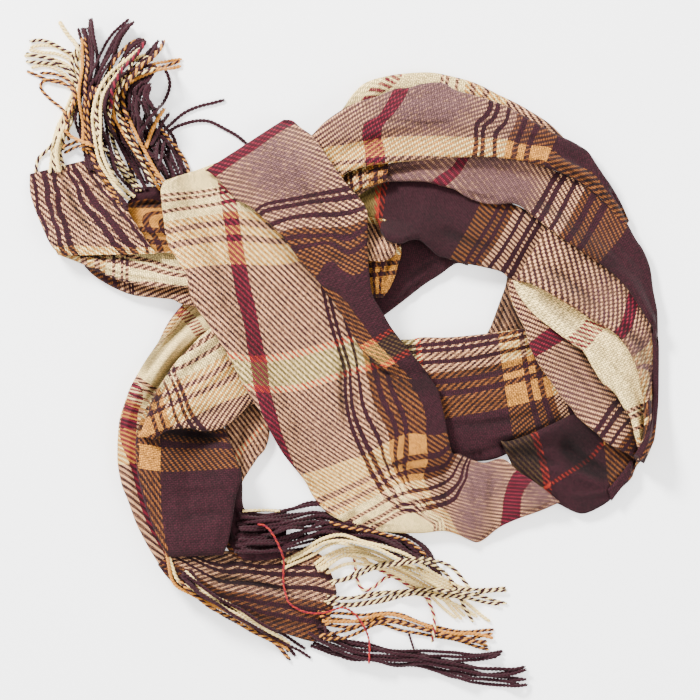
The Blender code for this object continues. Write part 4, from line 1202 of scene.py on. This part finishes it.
bandFold = {
    "left": [(205, 171), (211, 174), (220, 182.5), (229, 192), (237, 201), (248, 206), (267, 222), (284, 239),
             (299, 260), (322, 287), (341, 314), (353, 337), (361, 349), (374, 363), (384, 370), (396, 378)],
    "right": [(284, 120), (293, 121), (301, 128), (313, 137), (324, 152), (333, 166), (341, 177), (352, 191),
              (359, 198), (365, 207), (368, 216), (367.5, 231), (368, 255), (370, 279), (373, 296),
              (384, 315),
              (391, 327), (400, 339), (408, 349), (416, 359), (424, 368.5), (433, 380)],
    "warp": [(106, [(211, 176), (238, 204), (268, 226), (299, 262)]), (105.6, [(322, 285), (345, 301),
                                                                               (363, 325), (380, 347),
                                                                               (402, 370)]),
             (93, [(330, 305), (352, 340), (383, 367)]), (155, [(301, 128), (345, 185), (366, 214),
                                                                (368, 260)]),
             (143, [(372, 292)]), (126, [(400, 340)]), (118, [(424, 370)])],
    "weft": [(-1, [(209, 172), (246, 147), (284, 121)]), (5.4, [(216, 177), (252, 152), (291, 126)]),
             (60.6, [(262, 206), (300, 198), (346, 189)]), (64.95, [(266, 211), (310, 203), (356, 197)]),
             (72, [(274, 224), (315, 215), (362, 209)]), (83.85, [(284, 239), (320, 236), (366, 228)]),
             (91.35, [(292, 249), (325, 243), (345, 252), (367, 240)]), (105.6, [(317, 276), (334, 262),
                                                                                 (356, 275), (369, 266)]),
             (158.7, [(362, 347), (391, 330)]), (177.9, [(385, 366), (407, 353)])],
    "brushed": [(270, 165, 44, 0.85), (305, 190, 30, 0.4)],
    "creases": [(236, 196, 330, 258, 6, 0.8), (292, 168, 350, 240, 6, -0.9), (324, 252, 350, 262, 4, -1.2),
                (346, 240, 366, 300, 5, 1.0), (330, 290, 376, 346, 5, -0.7)],
    "foldedStart": 4,
    "runsInto": ("band_front", 16),
}
layCloth("band_fold", bandFold)
print("cloth laid")

# the fringe: each strand is two plies laid round each other, and lies on what is under it; in mm, where
# nothing else is said
strandLook = {
    "thick": 2.25,
    "thickVaries": (0.92, 1.08),
    "pitch": 4.4,
    "pitchVaries": (0.85, 1.25),
    "step": 0.75,
    "fewestSteps": 16,
    "plyShare": 0.29,           # a ply's radius, as a share of the strand's thickness
    "plyApart": 0.82,           # in ply radii, from the strand's middle
    "taper": (0.95, 0.8, 0.45),
    "sway": ((0.8, 9), (0.5, 4.3)),         # squares aside, and length of the wave
    "measuredIn": 40,           # steps
    "turn": 6.28,
    "liftedOver": 3,            # steps to both sides, over which a strand stays up
    "evenedOver": 6,
    "underRoof": 0.55,          # in thicknesses
    "pileTop": 32,
    "overTable": 0.1,
    "rise": (0.25, 0.08),       # of the pile under a strand and beside it, in thicknesses
}
bevelRadius = strandLook["plyShare"] * strandLook["thick"] * mm
plies = {
    "dark": ("dark", "dark"),
    "cream": ("cream", "cream"),
    "tan": ("tan", "tan"),
    "creamDark": ("cream", "dark"),
    "tanDark": ("tan", "dark"),
    "creamCrimson": ("cream", "crimson"),
    "crimsonDark": ("crimson", "dark"),
    "red": ("red", "crimson"),
}
pileSize, pileMargin = 760, 30          # the pile's heights, square by square round the plan
stackHeight = np.zeros((pileSize, pileSize))
nearSquares = [(dx, dy) for dx in (-1, 0, 1) for dy in (-1, 0, 1)]


def groundUnder(spots, ground):
    found = np.zeros(len(spots))
    for name in ground:
        found = np.fmax(found, heights(topOf[name], spots, farUp, -1))
    return found


def roofOver(spots, roofs):
    found = np.full(len(spots), farUp)
    for name in roofs:
        found = np.fmin(found, heights(solidTrees[name], spots, farDown, 1))
    return found


def runningMean(values, reach):
    kernel = np.hanning(2 * reach + 3)[1:-1]
    return np.convolve(np.pad(values, reach, mode="edge"), kernel / kernel.sum(), mode="valid")


def runningMost(values, reach):
    padded = np.pad(values, reach, mode="edge")
    return np.max([padded[k:k + len(values)] for k in range(2 * reach + 1)], axis=0)


def addPly(curve, points, radius, material):
    spline = curve.splines.new("POLY")
    spline.points.add(len(points) - 1)
    spline.points.foreach_set("co", np.hstack([points, np.ones((len(points), 1))]).ravel())
    taper = np.ones(len(points))
    taper[-3:] = strandLook["taper"]
    spline.points.foreach_set("radius", taper * radius / bevelRadius)
    spline.material_index = material


def acrossOf(line):
    along = np.gradient(line, axis=0)
    across = np.stack([-along[:, 1], along[:, 0]], 1)
    return across / np.maximum(np.linalg.norm(along, axis=1), 1e-6)[:, None]


def restingHeights(plan, thick, ground, roofs):
    # a strand lies on the cloth and on the strands before it, under what lies over it
    spots = onTable(plan)
    cells = np.clip(plan.round().astype(int) + pileMargin, 2, pileSize - 3)
    piled = np.max([stackHeight[cells[:, 1] + dy, cells[:, 0] + dx] for dx, dy in nearSquares], axis=0)
    below = np.maximum(groundUnder(spots, ground), piled)
    z = runningMean(runningMost(below, strandLook["liftedOver"]), strandLook["evenedOver"]) + 0.5 * thick
    z = np.minimum(z, strandLook["pileTop"] * mm - 0.5 * thick)
    z = np.minimum(z, roofOver(spots, roofs) - strandLook["underRoof"] * thick)
    z = np.maximum(z, 0.5 * thick + strandLook["overTable"] * mm)
    rise, riseBeside = strandLook["rise"]
    for dx, dy in nearSquares:
        here = z + (rise if dx == 0 and dy == 0 else riseBeside) * thick
        np.maximum.at(stackHeight, (cells[:, 1] + dy, cells[:, 0] + dx), here)
    return np.column_stack([spots, z])


def layFringe(name, node, strands, ground, roofs):
    curve = bpy.data.curves.new(name + "_curve", "CURVE")
    curve.dimensions = "3D"
    curve.bevel_depth = bevelRadius
    curve.bevel_resolution = 1
    curve.use_fill_caps = True
    slots = list(strandWool)
    for wool in slots:
        curve.materials.append(strandWool[wool])
    chance = np.random.default_rng(len(strands) + len(name))
    for kind, route, *more in strands:
        thick = (more[0] if more else strandLook["thick"]) * mm * chance.uniform(*strandLook["thickVaries"])
        rough = onTable(smoothThrough(route, strandLook["measuredIn"]))
        length = np.linalg.norm(np.diff(rough, axis=0), axis=1).sum()
        count = max(strandLook["fewestSteps"], int(length / (strandLook["step"] * mm)))
        plan = smoothThrough(route, count)
        along = np.linspace(0, 1, count) * length / mm
        phases = chance.uniform(0, strandLook["turn"], 2)
        aside = sum(by * np.sin(along / wave + phase) for (by, wave), phase in zip(strandLook["sway"],
                                                                                   phases))
        plan = plan + acrossOf(plan) * aside[:, None]
        middle = restingHeights(plan, thick, ground, roofs)
        ahead = np.gradient(middle, axis=0)
        ahead /= np.maximum(np.linalg.norm(ahead, axis=1), 1e-9)[:, None]
        beside = np.cross(ahead, (0, 0, 1))
        beside /= np.maximum(np.linalg.norm(beside, axis=1), 1e-9)[:, None]
        above = np.cross(beside, ahead)
        pitch = strandLook["pitch"] * mm * chance.uniform(*strandLook["pitchVaries"])
        angle = along * mm / pitch * 2 * math.pi + chance.uniform(0, strandLook["turn"])
        radius = strandLook["plyShare"] * thick
        for k, wool in enumerate(plies[kind]):
            turn = angle + k * math.pi
            offset = np.cos(turn)[:, None] * beside + np.sin(turn)[:, None] * above
            addPly(curve, middle + offset * radius * strandLook["plyApart"], radius, slots.index(wool))
    rope = bpy.data.objects.new(name + "_rope", curve)
    bpy.context.scene.collection.objects.link(rope)
    mesh = bpy.data.meshes.new_from_object(rope.evaluated_get(bpy.context.evaluated_depsgraph_get()))
    bpy.data.objects.remove(rope)
    mesh.name = name
    mesh.shade_smooth()
    fringe = bpy.data.objects.new(name, mesh)
    bpy.context.scene.collection.objects.link(fringe)
    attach(fringe, "root")
    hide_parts(node)
    print("fringe", name, len(strands), "strands", len(mesh.polygons), "faces")


bundled = {"drift": 0.18, "tipVaries": (-0.25, 0.12), "rootVaries": 0.3}


def bundle(kinds, route, spread, seed):
    # strands side by side that cross over each other on their way
    chance = np.random.default_rng(seed)
    route = np.asarray(route, float)
    widths = np.interp(np.linspace(0, 1, len(route)), np.linspace(0, 1, len(spread)), spread)
    made = []
    for kind, place in zip(kinds, np.linspace(-0.5, 0.5, len(kinds))):
        drift = chance.uniform(-bundled["drift"], bundled["drift"], len(route))
        drift[0] = 0
        line = route + acrossOf(route) * ((place + drift) * widths)[:, None]
        line[-1] += (line[-1] - line[-2]) * chance.uniform(*bundled["tipVaries"])
        line[0] -= (line[1] - line[0]) * chance.uniform(0, bundled["rootVaries"])
        made.append((kind, [tuple(p) for p in line]))
    return made


d, c, t = "dark", "cream", "tan"
cd, td, cc = "creamDark", "tanDark", "creamCrimson"

upperLeft = [
    *bundle([c, c, cd], [(60, 166), (57, 152), (60, 132), (70, 112), (78, 88), (76, 62), (60, 50), (42, 46),
                         (26, 46)], [7, 9, 8, 9], 3),
    *bundle([c, cd, c], [(54, 168), (56, 150), (62, 130), (73, 108), (78, 86), (66, 70), (48, 62), (26, 62)],
            [8, 8, 9], 5),
    (cd, [(36, 172), (39, 160), (48, 151), (56, 140), (62, 125), (70, 108), (77, 92), (74, 76), (56, 62),
          (26, 54)]),
    (cd, [(54, 172), (55, 158), (58, 144), (66, 126), (74, 108), (77, 90), (72, 72), (74, 56), (80, 44)]),
    (c, [(58, 172), (57, 156), (61, 138), (70, 116), (76, 96), (82, 70), (78, 48), (68, 34), (60, 21)], 3.0),
    (td, [(70, 140), (66, 122), (62, 110), (50, 99), (41, 89), (43, 82), (54, 81), (64, 84)]),
    (td, [(72, 110), (74, 96), (66, 86), (50, 80), (38, 75), (27, 71)]),
    (td, [(68, 120), (76, 100), (70, 84), (54, 74), (40, 72)]),
    (cd, [(64, 150), (66, 134), (74, 116), (80, 98), (80, 80), (77, 66), (79, 52)]),
]
layFringe("fringe_left", "fringe_upper_left", upperLeft, ["tail_lobe", "tail_knob"], [])

upperBack = [
    *bundle(5 * [d], [(92, 166), (86, 145), (84, 118), (88, 90), (90, 62), (87, 42), (82, 25)],
            [10, 12, 12, 6], 8),
    *bundle(4 * [d], [(98, 168), (90, 145), (88, 118), (92, 88), (94, 58), (92, 36), (91, 20)],
            [10, 10, 8, 3], 9),
    *bundle(6 * [d], [(104, 170), (94, 145), (92, 115), (98, 85), (108, 58), (118, 36), (130, 21)],
            [12, 14, 14, 6], 10),
    *bundle([d, td, d, d, d], [(110, 172), (102, 150), (100, 120), (108, 88), (120, 62), (133, 46),
                               (145, 40)], [12, 12, 12, 6], 11),
    *bundle([t, td], [(86, 150), (84, 120), (84, 90), (86, 66), (85, 46), (84, 38)], [4, 5, 5], 12),
    *bundle([d, d, d, d, d, td, d], [(140, 178), (132, 156), (122, 132), (118, 108), (126, 84), (140, 66),
                                     (158, 44)], [16, 16, 16, 12, 5], 13),
    *bundle(8 * [d], [(152, 178), (144, 158), (134, 136), (128, 112), (132, 94), (142, 82), (156, 68)],
            [16, 20, 20, 14, 6], 14),
    *bundle(9 * [d], [(166, 178), (158, 160), (148, 142), (142, 124), (140, 108), (142, 94), (148, 84)],
            [24, 26, 26, 18, 10], 15),
    *bundle(6 * [d], [(178, 176), (172, 160), (162, 144), (152, 128), (146, 112), (142, 98)],
            [18, 22, 22, 12], 16),
    *bundle([td, d, td, d, d], [(127, 207), (117, 193), (107, 175), (99, 156), (95, 134), (95, 110),
                                (99, 88)],
            [4, 7, 10, 10, 8], 17),
    (d, [(140, 140), (146, 126), (156, 112), (166, 98), (170, 86), (168, 75), (165, 69)]),
    (d, [(158, 160), (160, 140), (168, 126), (182, 114), (200, 106), (214, 103), (225, 101)]),
    (d, [(160, 166), (163, 146), (172, 130), (188, 123), (206, 122), (222, 127), (236, 134), (247, 144)]),
    (td, [(160, 128), (168, 137), (178, 149), (185, 163), (190, 180)]),
    (d, [(156, 134), (166, 142), (174, 154), (181, 168), (184, 180)]),
    (t, [(146, 148), (152, 132), (158, 120), (165, 109)], 2.8),
    (d, [(152, 146), (158, 132), (163, 122), (169, 113)], 2.6),
]
layFringe("fringe_back", "fringe_upper_back", upperBack, ["tail_lobe", "tail_knob"],
          ["band_front", "band_fold"])

upperFront = [
    *bundle([cd, d, cd, td], [(138, 188), (128, 172), (117, 154), (110, 134), (107, 114), (111, 95),
                              (120, 80), (134, 68), (152, 60)],
            [12, 14, 16, 14, 10, 6], 21),
    *bundle([cd, d, cd], [(132, 190), (121, 172), (111, 152), (105, 132), (104, 112), (109, 92), (120, 74),
                          (132, 54)],
            [10, 12, 12, 8], 22),
    *bundle(2 * [c], [(130, 196), (117, 184), (107, 168), (101, 150), (98, 130), (99, 110), (104, 92),
                      (116, 74), (131, 60), (144, 51)],
            [4, 5, 6, 6, 5], 23),
    *bundle([t, td, t], [(162, 184), (151, 168), (140, 150), (128, 130), (120, 112), (121, 94), (132, 80),
                         (150, 71), (181, 62)],
            [8, 10, 10, 8, 5], 24),
    *bundle([d, cd], [(150, 186), (140, 168), (128, 148), (118, 128), (114, 108), (118, 88), (132, 74),
                      (160, 66)], [8, 10, 10, 5], 25),
    (td, [(128, 120), (124, 104), (128, 88), (140, 72), (152, 60), (160, 48), (163, 40)], 2.6),
    ("crimsonDark", [(112, 110), (114, 90), (124, 72), (136, 58), (146, 41)], 2.8),
    (td, [(63, 148), (70, 145), (80, 142), (90, 145), (96, 150)]),
    (t, [(66, 131), (73, 138), (82, 142), (94, 146)]),
    (td, [(64, 152), (74, 148), (84, 148), (92, 153), (97, 162)]),
]
layFringe("fringe_front", "fringe_upper", upperFront, ["tail_lobe", "tail_knob"], ["band_front", "band_fold"])

lowerBack = [
    *bundle(7 * [d], [(243, 520), (265, 520), (290, 516), (315, 512), (338, 520), (362, 530), (390, 537),
                      (420, 552), (440, 577)],
            [14, 16, 18, 16, 12, 10], 31),
    *bundle(7 * [d], [(243, 534), (268, 534), (295, 530), (322, 526), (348, 530), (375, 535), (400, 544),
                      (425, 560)],
            [14, 18, 20, 16, 12, 8], 32),
    *bundle(6 * [d], [(243, 545), (270, 546), (298, 540), (325, 532), (345, 534), (372, 538), (396, 548),
                      (412, 560)],
            [12, 14, 16, 14, 8], 33),
    (td, [(330, 522), (360, 530), (388, 534), (404, 538), (416, 546), (427, 556)]),
    (c, [(243, 510), (262, 510), (280, 511)], 1.8),
]
layFringe("fringe_under", "fringe_dark", lowerBack, ["tail_layer", "tail_end", "tail_panel"], ["band_front"])

lowerFront = [
    *bundle(7 * [d], [(318, 638), (340, 645), (365, 652), (395, 656), (425, 661), (460, 671), (495, 677),
                      (524, 678)],
            [18, 14, 14, 14, 16], 41),
    *bundle(3 * [d], [(322, 640), (350, 652), (385, 654), (420, 655), (450, 656), (475, 657), (502, 653)],
            [10, 10, 8, 3], 42),
    *bundle(2 * [d], [(320, 632), (350, 648), (390, 658), (430, 660), (470, 670), (505, 672), (529, 666)],
            [10, 8, 6, 4], 43),
    (d, [(322, 612), (324, 624), (327, 640), (336, 650)], 1.8),
    (d, [(408, 634), (410, 642), (413, 650)], 1.8),
    *bundle([td, td], [(322, 614), (345, 618), (362, 618), (380, 614), (402, 618), (431, 629), (466, 634),
                       (494, 631)], [5, 6, 6, 4], 44),
    *bundle([td, td], [(324, 636), (345, 634), (362, 628), (381, 620), (406, 627), (436, 634), (470, 641),
                       (490, 647)], [5, 6, 6, 3], 45),
    *bundle([t, td], [(326, 622), (350, 624), (380, 618), (410, 622), (440, 632), (470, 637), (492, 640)],
            [4, 6, 4], 46),
    (cc, [(350, 548), (354, 560), (358, 578), (364, 589), (374, 587), (386, 578), (398, 577), (412, 586),
          (427, 598), (434, 612), (434, 628), (432, 642)]),
    (cc, [(360, 556), (372, 566), (388, 574), (404, 582), (420, 592), (431, 602)]),
    *bundle(3 * [c], [(288, 562), (306, 552), (324, 543), (342, 539), (362, 543), (384, 550), (406, 561),
                      (430, 574), (452, 586), (470, 592)],
            [6, 7, 9, 9, 5], 47),
    *bundle(3 * [c], [(318, 566), (334, 556), (350, 552), (372, 558), (396, 570), (420, 582), (444, 600),
                      (462, 618)], [6, 8, 10, 8], 48),
    *bundle(2 * [c], [(326, 570), (350, 558), (376, 562), (402, 572), (430, 586), (456, 600), (486, 620)],
            [6, 8, 8, 4], 49),
    (cd, [(330, 580), (344, 578), (356, 573), (378, 565), (402, 559), (426, 557), (448, 566), (463, 580),
          (471, 591)]),
    (cd, [(332, 584), (350, 579), (372, 569), (396, 562), (424, 562), (446, 574), (462, 600), (473, 622)]),
    *bundle([cd, cd], [(330, 599), (350, 600), (374, 597), (400, 592), (431, 593), (462, 592), (508, 589)],
            [5, 6, 5, 3], 50),
    *bundle([cd, cd], [(330, 602), (352, 602), (378, 598), (404, 593), (436, 592), (470, 596), (506, 604)],
            [5, 6, 5, 3], 51),
    ("red", [(258, 524), (264, 526), (270, 531), (278, 542), (284, 557), (284, 575), (286, 592), (290, 604),
             (304, 612),
                     (324, 612), (342, 607), (354, 612), (363, 624), (368, 642), (369, 663)], 1.5),
]
layFringe("fringe_over", "fringe_lower", lowerFront, ["tail_end", "tail_panel", "tail_layer"], ["band_front"])

cornerStrands = [
    *bundle([d, td, d], [(188, 572), (200, 588), (214, 600), (232, 612), (254, 626), (276, 638), (292, 656)],
            [6, 8, 10, 8], 61),
    *bundle([c, t], [(167, 546), (171, 566), (178, 582), (195, 592), (214, 602), (240, 616), (266, 632),
                     (288, 645)], [4, 5, 6, 5], 62),
    *bundle([c, d], [(186, 574), (204, 590), (228, 606), (250, 620), (270, 636)], [4, 6, 5], 63),
    *bundle(2 * [d], [(190, 578), (214, 598), (246, 618), (276, 634), (312, 656)], [6, 8, 5], 64),
    (td, [(180, 580), (198, 596), (222, 612), (250, 630), (276, 644), (290, 658)]),
]
layFringe("fringe_edge", "fringe_corner", cornerStrands, ["tail_outer", "tail_end"], [])

print("fringe laid")


# floor and light
stage = {
    "floorSize": 3.0,
    "below": 0.0002,
    "floor": {
        "Base Color": (0.95, 0.95, 0.95, 1.0),
        "Emission Color": (1.0, 1.0, 1.0, 1.0),
        "Emission Strength": 0.85,
        "Roughness": 0.9,
    },
    "lamps": {
        "key": {"place": (-0.95, 1.15, 1.3), "size": 0.5, "power": 124.0},
        "fill": {"place": (1.3, -0.6, 1.4), "size": 1.4, "power": 34.0},
    },
    "world": {"Color": (1.0, 1.0, 1.0, 1.0), "Strength": 1.7},
}
floorMesh = bpy.data.meshes.new("floor")
bm = bmesh.new()
bmesh.ops.create_grid(bm, x_segments=1, y_segments=1, size=stage["floorSize"])
bm.to_mesh(floorMesh)
bm.free()
floor = bpy.data.objects.new("floor", floorMesh)
floorPaint = bpy.data.materials.new("floor_white")
floorPaint.use_nodes = True
floorShader = floorPaint.node_tree.nodes["Principled BSDF"]
for socket, value in stage["floor"].items():
    floorShader.inputs[socket].default_value = value
floorMesh.materials.append(floorPaint)
floor.location.z = -stage["below"]
bpy.context.scene.collection.objects.link(floor)


def softLight(name, place, size, power):
    light = bpy.data.lights.new(name, "AREA")
    light.shape = "DISK"
    light.size = size
    light.energy = power
    lamp = bpy.data.objects.new(name, light)
    lamp.location = place
    lamp.rotation_euler = Vector(place).to_track_quat("Z", "Y").to_euler()
    bpy.context.scene.collection.objects.link(lamp)


for name, lamp in stage["lamps"].items():
    softLight(name, **lamp)
world = bpy.data.worlds.new("world")
world.use_nodes = True
for socket, value in stage["world"].items():
    world.node_tree.nodes["Background"].inputs[socket].default_value = value
bpy.context.scene.world = world
triangles = {o.name: sum(len(p.vertices) - 2 for p in o.data.polygons)
             for o in bpy.context.scene.objects if o.type == "MESH" and o.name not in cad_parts}
print("lit", sum(triangles.values()), "triangles, the most in one", max(triangles.values()))
